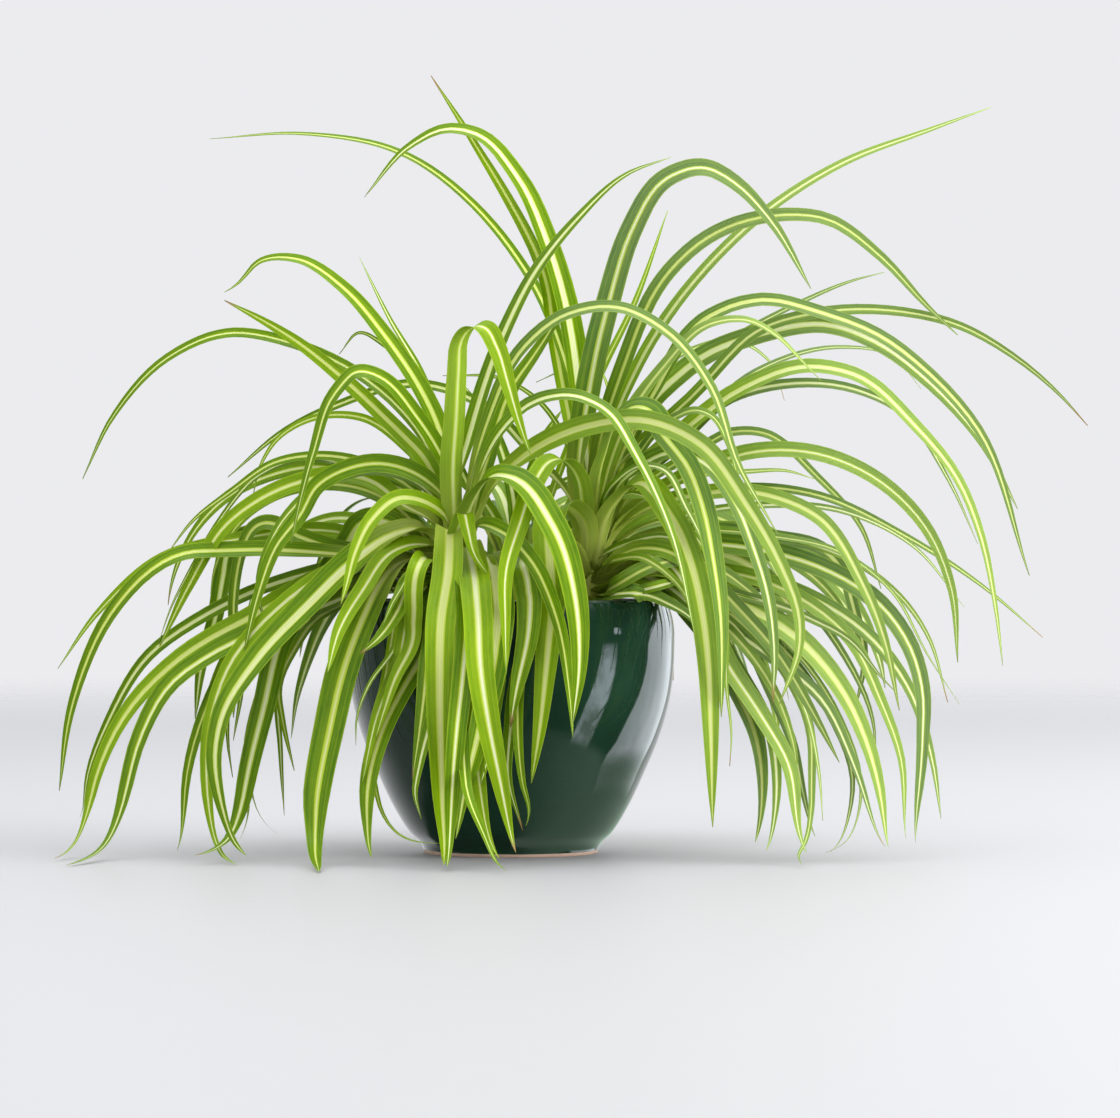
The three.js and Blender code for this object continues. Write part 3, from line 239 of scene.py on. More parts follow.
@dataclass(frozen=True)
class PotSize:
    """The pot's height, its outline from foot to rim and its inside, as radius and height."""

    height: float = 152.0
    radius: float = 98.0
    outside: tuple[tuple[float, float], ...] = (
        (52, 0), (53, 4), (60.5, 12), (70.5, 28), (80, 48), (88.5, 68),
        (95.5, 93), (98, 120), (97.5, 138), (95, 148),
    )
    rim: tuple[tuple[float, float], ...] = ((93, 151.3), (90.5, 152), (88.7, 150.2), (88.5, 147))
    inside: tuple[tuple[float, float], ...] = (
        (91.5, 138), (92.3, 120), (87, 80), (76.5, 53), (60, 25), (42, 9.5), (34, 8), (0, 8),
    )

    def radius_at(self, height: Array) -> Array:
        """Outer radius at a height, straight between the outline's points."""
        outline = np.array(self.outside)
        return np.interp(height, outline[:, 1], outline[:, 0])


@dataclass(frozen=True)
class CrownPlace:
    """Where a crown's stem stands and how high it reaches."""

    x: float
    y: float
    top: float


PLACES: dict[CrownName, CrownPlace] = {
    CrownName.LEFT: CrownPlace(-35, -25, 190),
    CrownName.RIGHT: CrownPlace(46, -5, 182),
    CrownName.BACK: CrownPlace(4, 38, 178),
}


@dataclass(frozen=True)
class StemSize:
    """The stem that a crown's leaves grow from."""

    radius: float = 15.0
    bottom: float = 112.0
    shoulder: float = 152.0
    root_radius: float = 8.0
    root_height: float = 148.0
    root_rise: float = 26.0
    climb_from: float = 150.0
    rows: int = 40
    sides: int = 48
    swell: float = 0.05
    swell_turn: float = 3.5
    swell_lean: float = 0.05


@dataclass(frozen=True)
class HiddenLeaves:
    """How many leaves a crown has on its hidden side, and their compass range in degrees."""

    count: int
    start: float
    end: float


HIDDEN: dict[CrownName, HiddenLeaves] = {
    CrownName.LEFT: HiddenLeaves(10, 95, 168),
    CrownName.RIGHT: HiddenLeaves(10, 12, 85),
    CrownName.BACK: HiddenLeaves(22, 10, 170),
}


# Leaves that lie over the rim and keep their drawn paths, as places in their crown's rows.
HELD: dict[CrownName, tuple[int, ...]] = {
    CrownName.LEFT: (46,),
    CrownName.RIGHT: (46, 56),
    CrownName.BACK: (),
}


@dataclass(frozen=True)
class HiddenForm:
    """Ranges that a hidden leaf's width, length, rise and droop are drawn from, and its bend."""

    width: tuple[float, float] = (8, 15)
    length: tuple[float, float] = (170, 310)
    launch: tuple[float, float] = (20, 80)
    droop: tuple[float, float] = (70, 88)
    root: float = 150.0
    bend: float = 1.1
    steps: int = 47
    seed: int = 69


@dataclass(frozen=True)
class Surface:
    """How a leaf that reaches the surface under the pot comes to lie on it."""

    clearance: float = 0.9
    bend: float = 22.0
    front: float = 20.0
    front_pull: float = 60.0
    front_spread: float = 0.08


@dataclass(frozen=True)
class OverRim:
    """Where a drawn path that comes down to the rim starts to hang outside the pot."""

    gap: float = 1.0
    above: float = 18.0
    fade: float = 16.0
    root_run: float = 18.0


@dataclass(frozen=True)
class BladeForm:
    """The blade of a leaf: its thickness, fold, width and roll, and how finely it is made."""

    thickness: float = 0.5
    edge_thinning: float = 0.6
    least_height: float = 0.35
    tip_width: float = 0.5
    base_fold: float = 36.0
    tip_fold: float = 14.0
    fold_length: float = 0.55
    keel_round: float = 0.03
    root_share: float = 0.75
    root_length: float = 0.3
    widening: float = 1.17
    hanging_height: float = 130.0
    taper: float = 3.3
    tip_power: float = 0.8
    lying_share: float = 0.6
    lying_height: float = 45.0
    roll: float = 60.0
    roll_from: float = 0.3
    roll_over: float = 0.5
    roll_height: float = 40.0
    roll_jitter: float = 12.0
    jitter_turn: float = 2.4
    lean_share: float = 0.8
    spacing: float = 46.0
    fewest_stations: int = 5
    most_stations: int = 10
    length_share: float = 0.6
    twist: float = 34.0
    twist_turn: float = 1.7
    twist_start: float = 0.6
    path_points: int = 48
    rows: int = 46
    columns: int = 9


@dataclass(frozen=True)
class Variety:
    """How the leaves differ in colour, by sines of a leaf's number times a turn plus a start."""

    tone: tuple[float, float] = (2.1, 0.4)
    stripe: tuple[float, float] = (1.3, 0.0)
    dry: tuple[float, float] = (3.7, 0.0)
    butter: tuple[float, float] = (2.9, 1.0)
    stripe_width: float = 0.2
    stripe_change: float = 0.07
    dry_above: float = 0.8
    butter_change: float = 0.7
    # outer_from and outer_over set where the painted window sheen begins on leaves whose tips hang right,
    # and how far it grows.
    outer_from: float = 60.0
    outer_over: float = 130.0


VIEW = Viewpoint()
POT = PotSize()
STEM = StemSize()
HIDDEN_FORM = HiddenForm()
SURFACE = Surface()
OVER_RIM = OverRim()
BLADE = BladeForm()
VARIETY = Variety()


# ---- small rules ----


def smooth(t: Array) -> Array:
    """Zero below 0, one above 1, and 3 t^2 - 2 t^3 between."""
    held = np.clip(t, 0.0, 1.0)
    return held * held * (3.0 - 2.0 * held)


def mix(a: Array, b: Array, t: Array) -> Array:
    """A value that goes straight from a to b as t goes from 0 to 1."""
    return a + (b - a) * t


def unit(vectors: Array) -> Array:
    """The vectors along the last axis, each brought to length one."""
    lengths = np.linalg.norm(vectors, axis=-1, keepdims=True)
    return vectors / np.maximum(lengths, 1e-9)


def dot(a: Array, b: Array) -> Array:
    """Dot products along the last axis, kept as a last axis of one."""
    return np.sum(a * b, axis=-1, keepdims=True)


def running_length(path: Array) -> Array:
    """The running length of a path at each of its points."""
    gaps = np.linalg.norm(np.diff(path, axis=0), axis=1)
    return np.concatenate(([0.0], np.cumsum(gaps)))


def even_out(rows: Array, times: int) -> None:
    """Evens rows out in place: each inner row takes a quarter of both its neighbours.

    Args:
        rows: The rows, along the first axis.
        times: How many times to do it.
    """
    for _ in range(times):
        rows[1:-1] = rows[1:-1] * 0.5 + (rows[:-2] + rows[2:]) * 0.25


class Draws:
    """Even draws between 0 and 1 from a seed, by a 32-bit linear congruential rule."""

    def __init__(self, seed: int) -> None:
        """Starts the rule from a seed."""
        self.state = seed

    def __call__(self) -> float:
        """The next draw."""
        self.state = (self.state * 1664525 + 1013904223) % 4294967296
        return self.state / 4294967296

    def within(self, low: float, high: float) -> float:
        """The next draw, spread from low to high."""
        return mix(low, high, self())


# ---- the centre lines of the leaves ----


@dataclass
class Leaf:
    """One leaf: its crown, its greatest width and the fine path of its centre line."""

    crown: CrownName
    width: float
    path: Array
    held: bool = False
    stations: Array = field(init=False)

    def __post_init__(self) -> None:
        """Picks the few stations that the leaf is eased by."""
        total = running_length(self.path)[-1]
        wanted = math.floor(total / BLADE.spacing + 0.5) + 2
        count = int(np.clip(wanted, BLADE.fewest_stations, BLADE.most_stations))
        self.stations = pick_stations(self.path, count)


def smooth_path(points: Array, count: int) -> Array:
    """A smooth curve through some points, sampled evenly in chord length.

    The curve is cubic between two points. Its slope at an inner point is the mean of the
    two chords' slopes, each weighted by the length of the other.

    Args:
        points: The points that the curve goes through.
        count: How many samples to take.

    Returns:
        The samples, one row each.
    """
    steps = np.diff(points, axis=0)
    gaps = np.linalg.norm(steps, axis=1)
    knots = np.concatenate(([0.0], np.cumsum(gaps)))
    chords = steps / gaps[:, None]
    share = (gaps[1:] / (gaps[:-1] + gaps[1:]))[:, None]
    inner = chords[:-1] * share + chords[1:] * (1 - share)
    slopes = np.concatenate((chords[:1], inner, chords[-1:]))
    along = knots[-1] * np.arange(count) / (count - 1)
    span = np.clip(np.searchsorted(knots, along) - 1, 0, len(gaps) - 1)
    gap = gaps[span][:, None]
    u = (along - knots[span])[:, None] / gap
    return (
        points[span] * (2 * u**3 - 3 * u**2 + 1)
        + slopes[span] * gap * (u**3 - 2 * u**2 + u)
        + points[span + 1] * (3 * u**2 - 2 * u**3)
        + slopes[span + 1] * gap * (u**3 - u**2)
    )


def pick_stations(path: Array, count: int) -> Array:
    """Stations along a fine path, closer together where it bends.

    The stations are even in a measure that mixes the running length and the angle turned
    so far, each as a share of its whole.

    Args:
        path: A fine path.
        count: How many stations to pick.

    Returns:
        The stations, one row each.
    """
    run = running_length(path)
    ways = unit(np.diff(path, axis=0))
    angles = np.arccos(np.clip(np.sum(ways[:-1] * ways[1:], axis=1), -1, 1))
    turn = np.concatenate(([0.0, 0.0], np.cumsum(angles)))
    share = BLADE.length_share
    measure = share * run / run[-1] + (1 - share) * turn / max(turn[-1], 1e-6)
    wanted = measure[-1] * np.arange(count) / (count - 1)
    return np.stack([np.interp(wanted, measure, path[:, k]) for k in range(3)], axis=1)


def lay_on_surface(path: Array) -> Array:
    """Lets the stretch of a path that would sink below the surface lie along it.

    Below a limit the height falls off as an exponential towards the clearance, and the
    length that this frees goes outward, or in front of the pot mostly towards the viewer.

    Args:
        path: A fine path that may sink below z = 0.

    Returns:
        The path laid on the surface, with its length kept.
    """
    limit = SURFACE.clearance + SURFACE.bend
    low = path[:, 2] < limit
    if not low.any():
        return path
    touch = path[np.argmax(low)]
    forward = np.array([SURFACE.front_spread * touch[0], touch[1] - SURFACE.front_pull, 0.0])
    sideways = np.array([touch[0], touch[1], 0.0])
    outward = unit(forward if touch[1] < SURFACE.front else sideways)
    sunk = SURFACE.bend * np.exp((np.minimum(path[:, 2], limit) - limit) / SURFACE.bend)
    height = np.where(low, SURFACE.clearance + sunk, path[:, 2])
    step = np.diff(path, axis=0)
    rise = np.diff(height)
    level = np.hypot(step[:, 0], step[:, 1])
    length2 = np.sum(step * step, axis=1)
    spare = np.maximum(np.sqrt(np.maximum(length2 - rise * rise, 0)) - level, 0)
    moved = np.column_stack((step[:, 0], step[:, 1], rise)) + outward * spare[:, None]
    return np.concatenate((path[:1], path[0] + np.cumsum(moved, axis=0)))


def past_rim(x: Array, y: Array, z: Array, run: Array) -> Array:
    """Depths at which a path that has come down to the rim hangs outside the pot.

    Args:
        x: The path's places across.
        y: The path's depths.
        z: The path's heights.
        run: The path's running length.

    Returns:
        The depths, moved out of the pot's outline as the path nears the rim's height.
    """
    wall = POT.radius_at(z) + Easing.pot_margin + OVER_RIM.gap
    way = np.where(y < SURFACE.front, -1.0, 1.0)
    outside = np.sqrt(np.maximum(wall * wall - x * x, 0)) * way
    come_down = smooth((POT.height + OVER_RIM.above - z) / OVER_RIM.fade)
    due = come_down * smooth(run / OVER_RIM.root_run)
    short = np.where(outside < 0, np.maximum(y - outside, 0), np.minimum(y - outside, 0))
    return np.where(np.abs(x) > wall, y, y - due * short)


def drawn_leaf(crown: CrownName, row: LeafRow) -> Leaf:
    """A leaf from its row of the front elevation.

    The depth goes from the root's to the tip's as 1 - (1 - s)^quickness, and each point
    moves away from the view's centre as it goes deeper, so that it is still seen there.

    Args:
        crown: The crown that it grows from.
        row: Its width, the depth of its tip, the quickness and its points.

    Returns:
        The leaf.
    """
    width, tip_depth, quickness, elevation = row
    place = PLACES[crown]
    seen = np.array(elevation, float).reshape(-1, 2)
    depth_out = tip_depth - place.y
    width_out = seen[-1, 0] - place.x
    out = math.hypot(depth_out, width_out)
    lean = STEM.root_radius * width_out / out
    fore = STEM.root_radius * depth_out / out
    rise, aside = seen[0, 1] - STEM.climb_from, abs(seen[0, 0] - place.x)
    climb = math.atan2(rise, aside + STEM.root_radius) / (math.pi / 2)
    root = (place.x + lean, STEM.root_height + STEM.root_rise * min(max(climb, 0), 1))
    flat = np.vstack((root, seen))
    points = np.column_stack((flat[:, 0], np.zeros(len(flat)), flat[:, 1]))
    path = smooth_path(points, BLADE.path_points)
    run = running_length(path)
    gained = 1 - (1 - run / run[-1]) ** quickness
    depth = past_rim(path[:, 0], mix(place.y + fore, tip_depth, gained), path[:, 2], run)
    scale = (VIEW.distance + depth) / VIEW.distance
    path[:, 0] = VIEW.x + (path[:, 0] - VIEW.x) * scale
    path[:, 1] = depth
    path[:, 2] = VIEW.z + (path[:, 2] - VIEW.z) * scale
    return Leaf(crown, width, lay_on_surface(path))


def hidden_leaves(crown: CrownName, draws: Draws) -> list[Leaf]:
    """The leaves of one crown's hidden side, spread by the golden angle.

    A leaf rises at its launch angle and turns down to its droop angle along its length.

    Args:
        crown: The crown that they grow from.
        draws: The draws that give widths, lengths and angles.

    Returns:
        The leaves.
    """
    place = PLACES[crown]
    spread = HIDDEN[crown]
    form = HIDDEN_FORM
    golden = (math.sqrt(5) - 1) / 2
    leaves = []
    for n in range(spread.count):
        compass = math.radians(mix(spread.start, spread.end, (0.5 + n * golden) % 1))
        width = draws.within(*form.width)
        length = draws.within(*form.length)
        launch = math.radians(draws.within(*form.launch))
        droop = math.radians(draws.within(*form.droop))
        rise = mix(launch, -droop, ((np.arange(form.steps) + 0.5) / form.steps) ** form.bend)
        level = np.cos(rise)
        step = np.column_stack((level * math.cos(compass), level * math.sin(compass), np.sin(rise)))
        start = np.array([[place.x, place.y, form.root]])
        path = np.concatenate((start, start + np.cumsum(step, axis=0) * length / form.steps))
        leaves.append(Leaf(crown, width, lay_on_surface(path)))
    return leaves


def all_leaves() -> list[Leaf]:
    """Every leaf of the plant, in the order in which the solids take them.

    Returns:
        The drawn leaves of all crowns, and then the hidden ones.
    """
    draws = Draws(HIDDEN_FORM.seed)
    leaves = []
    for crown, rows in DRAWN.items():
        drawn = [drawn_leaf(crown, row) for row in rows]
        for place in HELD[crown]:
            drawn[place].held = True
        leaves += drawn
    for crown in CrownName:
        leaves += hidden_leaves(crown, draws)
    return leaves


def blade_width(width: Array, s: Array, least: float, root_share: float, power: float) -> Array:
    """The blade's width at a fraction of its length.

    It is a share of the width at the root and full from the root length on. Towards the tip
    it is (1 - s^power)^tip_power of that.

    Args:
        width: The leaf's greatest width.
        s: Fractions of the length.
        least: The width that no place falls below.
        root_share: The root's width as a share of the greatest.
        power: How late the blade begins to narrow.

    Returns:
        The widths.
    """
    root = mix(root_share, 1.0, smooth(s / BLADE.root_length))
    taper = np.maximum(1 - s**power, 0) ** BLADE.tip_power
    return np.maximum(width * root * taper, least)


def blade_roll(compass: Array, climb: Array, jitter: Array) -> Array:
    """How far a blade turns about its midrib to show its face in front.

    Leaves that grow sideways turn by the blade's roll, less a share of the angle by which
    their climb already leans the face: atan(tan(compass) * climb).

    Args:
        compass: The way that the leaf grows, from +X.
        climb: The height part of the unit vector along the blade.
        jitter: A turn of the leaf's own.

    Returns:
        The angles in radians.
    """
    aside = np.cos(compass)
    share = smooth((np.abs(aside) - BLADE.roll_from) / BLADE.roll_over)
    lean = np.arctan(np.tan(compass) * climb)
    return share * (math.radians(BLADE.roll) * np.sign(aside) - BLADE.lean_share * lean) + jitter


# ---- easing the leaves apart ----


class Easing:
    """Eases all leaves apart, off the pot, off other crowns' stems and off the surface.

    The leaves' stations stand in one long array. A stretch between two stations counts as a
    flat box. Two boxes that overlap are pushed apart along the axis of the least overlap.
    """

    passes: int = 160
    own_margin: float = 0.3
    other_margin: float = 3.0
    pot_margin: float = 2.5
    rim_margin: float = 2.6
    step: float = 0.7
    longest: float = 6.0
    thickness: float = 0.7
    tip_width: float = 1.3
    root_share: float = 0.4
    taper: float = 4.0
    root_freedom: float = 0.7
    root_skip: float = 0.3
    near_reach: float = 8.0
    renewal: int = 10
    own_share: float = 0.35
    other_share: float = 0.5
    wall_share: float = 0.2
    inner_edge: float = 25.0
    soil_level: float = 148.0
    soil_step: float = 0.3
    stem_margin: float = 1.0
    stem_above: float = 4.0
    rim_depth: float = 14.0
    rim_turns: int = 8
    evenings: int = 6
    soft_steps: int = 90
    free_turn: float = 9.0
    soft_share: float = 0.5
    neighbour_share: float = 0.7
    soft_margin: float = 1.6
    wall_depth: float = 20.0

    def __init__(self, leaves: list[Leaf]) -> None:
        """Lays the leaves' stations out in one array.

        Args:
            leaves: Every leaf of the plant.
        """
        counts = np.array([len(leaf.stations) for leaf in leaves])
        self.points = np.concatenate([leaf.stations for leaf in leaves])
        self.leaf = np.repeat(np.arange(len(leaves)), counts)
        self.first = np.concatenate(([0], np.cumsum(counts)[:-1]))
        self.last = np.cumsum(counts) - 1
        index = np.arange(len(self.points))
        self.place = index - self.first[self.leaf]
        self.before = np.maximum(index - 1, self.first[self.leaf])
        self.after = np.minimum(index + 1, self.last[self.leaf])
        self.start = index[index != self.last[self.leaf]]
        names = list(CrownName)
        self.crown = np.array([names.index(leaf.crown) for leaf in leaves])
        self.width = np.array([leaf.width for leaf in leaves])
        jitter = BLADE.roll_jitter * np.sin(BLADE.jitter_turn * np.arange(len(leaves)))
        self.jitter = np.radians(jitter)
        self.free = np.clip(self.place * self.root_freedom, 0, 1)[:, None]

    def frame(self) -> None:
        """Works out each station's way along, width direction, face normal and width."""
        points = self.points
        along = unit(points[self.after] - points[self.before])
        reach = points[self.last] - points[self.first]
        compass = np.arctan2(reach[:, 1], reach[:, 0])
        level = np.column_stack((-np.sin(compass), np.cos(compass), np.zeros(len(compass))))
        across = level[self.leaf]
        side = unit(across - along * dot(across, along))
        normal = np.cross(along, side)
        gaps = np.linalg.norm(points - points[self.before], axis=1)
        run = np.cumsum(gaps) - np.cumsum(gaps)[self.first[self.leaf]]
        self.fraction = run / run[self.last[self.leaf]]
        roll = blade_roll(compass[self.leaf], along[:, 2], self.jitter[self.leaf])
        raised = smooth(points[:, 2] / BLADE.roll_height)
        turned = roll * raised * smooth(self.fraction / BLADE.root_length)
        cos, sin = np.cos(turned)[:, None], np.sin(turned)[:, None]
        self.side = side * cos + normal * sin
        self.normal = normal * cos - side * sin
        self.widths = blade_width(
            self.width[self.leaf], self.fraction, self.tip_width, self.root_share, self.taper
        )

    def boxes(self) -> None:
        """Works out the flat box of each stretch: its middle, axes and half sizes."""
        a = self.start
        b = a + 1
        whole = self.points[b] - self.points[a]
        skipped = np.where(self.place[a] == 0, self.root_skip, 0.0)
        begin = self.points[a] + whole * skipped[:, None]
        span = self.points[b] - begin
        along = unit(span)
        raw = self.side[a] + self.side[b]
        side = unit(raw - along * dot(raw, along))
        self.middle = begin + span / 2
        self.axes = np.stack((along, side, np.cross(along, side)), axis=1)
        half_width = (self.widths[a] + self.widths[b]) / 4
        half_length = np.linalg.norm(span, axis=1) / 2
        flat = np.full(len(a), self.thickness / 2)
        self.half = np.column_stack((half_length, half_width, flat))

    def near_pairs(self) -> None:
        """Lists the pairs of boxes of different leaves that lie near enough to matter."""
        leaf = self.leaf[self.start]
        i, j = np.triu_indices(len(leaf), 1)
        differ = leaf[i] != leaf[j]
        i, j = i[differ], j[differ]
        near = self.half[i, :2].sum(axis=1) + self.half[j, :2].sum(axis=1) + self.near_reach
        gap = self.middle[j] - self.middle[i]
        close = np.sum(gap * gap, axis=1) < near * near
        self.pairs = (i[close], j[close])
        crown = self.crown[leaf]
        self.own = crown[self.pairs[0]] == crown[self.pairs[1]]

    def pushes(self) -> Array:
        """The push on each station from all overlapping boxes.

        Two boxes are compared along the axes of both. A box's push is shared between its two
        stations by where the other box's middle lies along it.

        Returns:
            The pushes, one row for each station.
        """
        i, j = self.pairs
        own = self.own
        gap = self.middle[j] - self.middle[i]
        axes = np.concatenate((self.axes[i], self.axes[j]), axis=1)
        reach_i = np.einsum("pk,pak->pa", self.half[i], np.abs(axes @ self.axes[i].swapaxes(1, 2)))
        reach_j = np.einsum("pk,pak->pa", self.half[j], np.abs(axes @ self.axes[j].swapaxes(1, 2)))
        apart = np.einsum("pax,px->pa", axes, gap)
        margin = np.where(own, self.own_margin, self.other_margin)[:, None]
        room = margin - np.abs(apart) + reach_i + reach_j
        hit = room.min(axis=1) > 0
        i, j, own, gap = i[hit], j[hit], own[hit], gap[hit]
        axes, apart, room = axes[hit], apart[hit], room[hit]
        best = room.argmin(axis=1)
        rows = np.arange(len(best))
        way = axes[rows, best] * np.where(apart[rows, best] < 0, -1.0, 1.0)[:, None]
        depth = room[rows, best] * self.step * np.where(own, self.own_share, self.other_share)
        pushed = np.zeros_like(self.points)
        for box, sign in ((i, -1.0), (j, 1.0)):
            place = -sign * np.sum(gap * self.axes[box, 0], axis=1)
            u = np.clip(place / self.half[box, 0], -1, 1)
            shares = ((1 - u) / 2, (1 + u) / 2)
            norm = shares[0] ** 2 + shares[1] ** 2
            for end, share in enumerate(shares):
                amount = (sign * depth * share / norm)[:, None] * way
                np.add.at(pushed, self.start[box] + end, amount)
        return pushed

    def keep_clear(self) -> None:
        """Moves stations out of the pot's wall, other crowns' stems and the surface."""
        p = self.points
        moving = self.place > 0
        half = self.widths / 2
        radius = np.hypot(p[:, 0], p[:, 1])
        wall = POT.radius_at(p[:, 2]) + self.pot_margin + half * self.wall_share
        below = moving & (p[:, 2] < POT.height)
        inside = radius <= POT.radius - self.inner_edge
        outer = below & ~inside & (radius < wall)
        p[outer, :2] *= (wall[outer] / radius[outer])[:, None]
        inner = below & inside & (p[:, 2] < self.soil_level)
        p[inner, 2] = mix(p[inner, 2], self.soil_level, self.soil_step)
        for index, place in enumerate(PLACES.values()):
            away = p[:, :2] - np.array([place.x, place.y])
            room = STEM.radius + half + self.stem_margin
            distance = np.linalg.norm(away, axis=1)
            other = self.crown[self.leaf] != index
            low = p[:, 2] <= place.top + self.stem_above
            near = moving & other & low & (distance < room)
            out = away[near] * (room[near] / np.maximum(distance[near], 1e-9))[:, None]
            p[near, :2] = np.array([place.x, place.y]) + out
        edge = half * np.abs(self.side[:, 2])
        p[moving, 2] = np.maximum(p[:, 2], SURFACE.clearance + edge)[moving]

    def clear_rim(self) -> None:
        """Moves the stretches that pass over the rim until both their edges clear it.

        Each stretch is tried at five places along it, and there at one edge, the middle and
        the other edge. It moves up or out, whichever is nearer.
        """
        p = self.points
        a = self.start
        b = a + 1
        for n in range(15):
            u = 0.1 + 0.2 * (n // 3)
            edge = ((n % 3) - 1) * mix(self.widths[a], self.widths[b], u) * 0.5
            q = mix(p[a], p[b], u) + self.side[a] * edge[:, None]
            radius = np.hypot(q[:, 0], q[:, 1])
            top = POT.height + self.rim_margin
            outer = POT.radius_at(q[:, 2]) + self.rim_margin
            over = (radius >= POT.radius - self.rim_depth) & (radius <= outer)
            hit = (q[:, 2] < top) & over
            if not hit.any():
                continue
            up = top - q[hit, 2]
            out = (outer - radius)[hit]
            radial = q[hit, :2] / radius[hit][:, None] * out[:, None]
            lift = np.column_stack((np.zeros((len(up), 2)), up))
            push = np.where((up < out)[:, None], lift, np.column_stack((radial, 0 * up)))
            first = np.where(self.place[a[hit]] > 0, 1 - u, 0.0)
            norm = first * first + u * u
            np.add.at(p, a[hit], push * (first / norm)[:, None])
            np.add.at(p, b[hit], push * np.minimum(u / norm, 2)[:, None])

    def run(self) -> None:
        """Runs all passes, and then the last ones that only clear the rim."""
        for turn in range(self.passes):
            self.frame()
            self.boxes()
            if turn % self.renewal == 0:
                self.near_pairs()
            pushed = self.pushes()
            eased = pushed * 0.5 + pushed[self.before] * 0.25 + pushed[self.after] * 0.25
            size = np.linalg.norm(eased, axis=1, keepdims=True)
            held = self.longest / np.maximum(size, self.longest)
            self.points = self.points + eased * self.free * held
            self.keep_clear()
            self.clear_rim()
        for _ in range(self.rim_turns):
            self.frame()
            self.clear_rim()
        self.frame()

    def eased_paths(self, leaves: list[Leaf]) -> Array:
        """The leaves' fine paths, carried along with their stations.

        A station's move is spread along the fine path by its share of the running length
        and evened out with its neighbours. A held leaf keeps its drawn path. Then kinks are
        evened out, and the leaves in front of the pot are put into one order in depth.

        Args:
            leaves: Every leaf, in the order of the stations.

        Returns:
            One path for each leaf: leaves by rows by three.
        """
        paths = []
        for leaf, first, last in zip(leaves, self.first, self.last):
            fine = pick_stations(leaf.path, BLADE.rows)
            share = running_length(fine)
            knots = running_length(leaf.stations)
            knots = knots * share[-1] / knots[-1]
            moves = self.points[first:last + 1] - leaf.stations
            spread = np.stack([np.interp(share, knots, moves[:, k]) for k in range(3)], axis=1)
            even_out(spread, self.evenings)
            paths.append(fine + spread * (0.0 if leaf.held else 1.0))
        evened = self.unkinked(np.stack(paths))
        return self.unkinked(Curtain().layered(evened, self.width))

    def unkinked(self, paths: Array) -> Array:
        """Evens out kinks, so that a blade bends as a leaf does.

        An inner point moves towards the middle of its two neighbours, the more so the more
        the path turns there, in many small steps. After each step the points that have come
        within a margin of the pot's wall or rim move out or up, whichever is nearer.

        Args:
            paths: The paths, leaves by rows by three.

        Returns:
            The evened paths.
        """
        for _ in range(self.soft_steps):
            ways = unit(np.diff(paths, axis=1))
            cosine = np.clip(np.sum(ways[:, 1:] * ways[:, :-1], axis=2), -1, 1)
            turn = np.degrees(np.arccos(cosine))
            share = self.soft_share * smooth((turn - self.free_turn) / self.free_turn)
            ahead = np.concatenate((share[:, 1:], share[:, -1:]), axis=1)
            behind = np.concatenate((share[:, :1], share[:, :-1]), axis=1)
            beside = self.neighbour_share * np.maximum(ahead, behind)
            share = np.maximum(share, beside)[..., None]
            middle = (paths[:, 2:] + paths[:, :-2]) / 2
            paths[:, 1:-1] = mix(paths[:, 1:-1], middle, share)
            radius = np.hypot(paths[..., 0], paths[..., 1])
            wall = POT.radius_at(paths[..., 2]) + self.soft_margin
            up = POT.height + self.soft_margin - paths[..., 2]
            out = wall - radius
            hit = (up > 0) & (out > 0) & (out < self.wall_depth)
            lift = hit & (up < out)
            paths[..., 2] += np.where(lift, up, 0.0)
            grown = np.where(hit & ~lift, wall / np.maximum(radius, 1e-6), 1.0)
            paths[..., :2] *= grown[..., None]
            paths[..., 2] = np.maximum(paths[..., 2], SURFACE.clearance)
        return paths


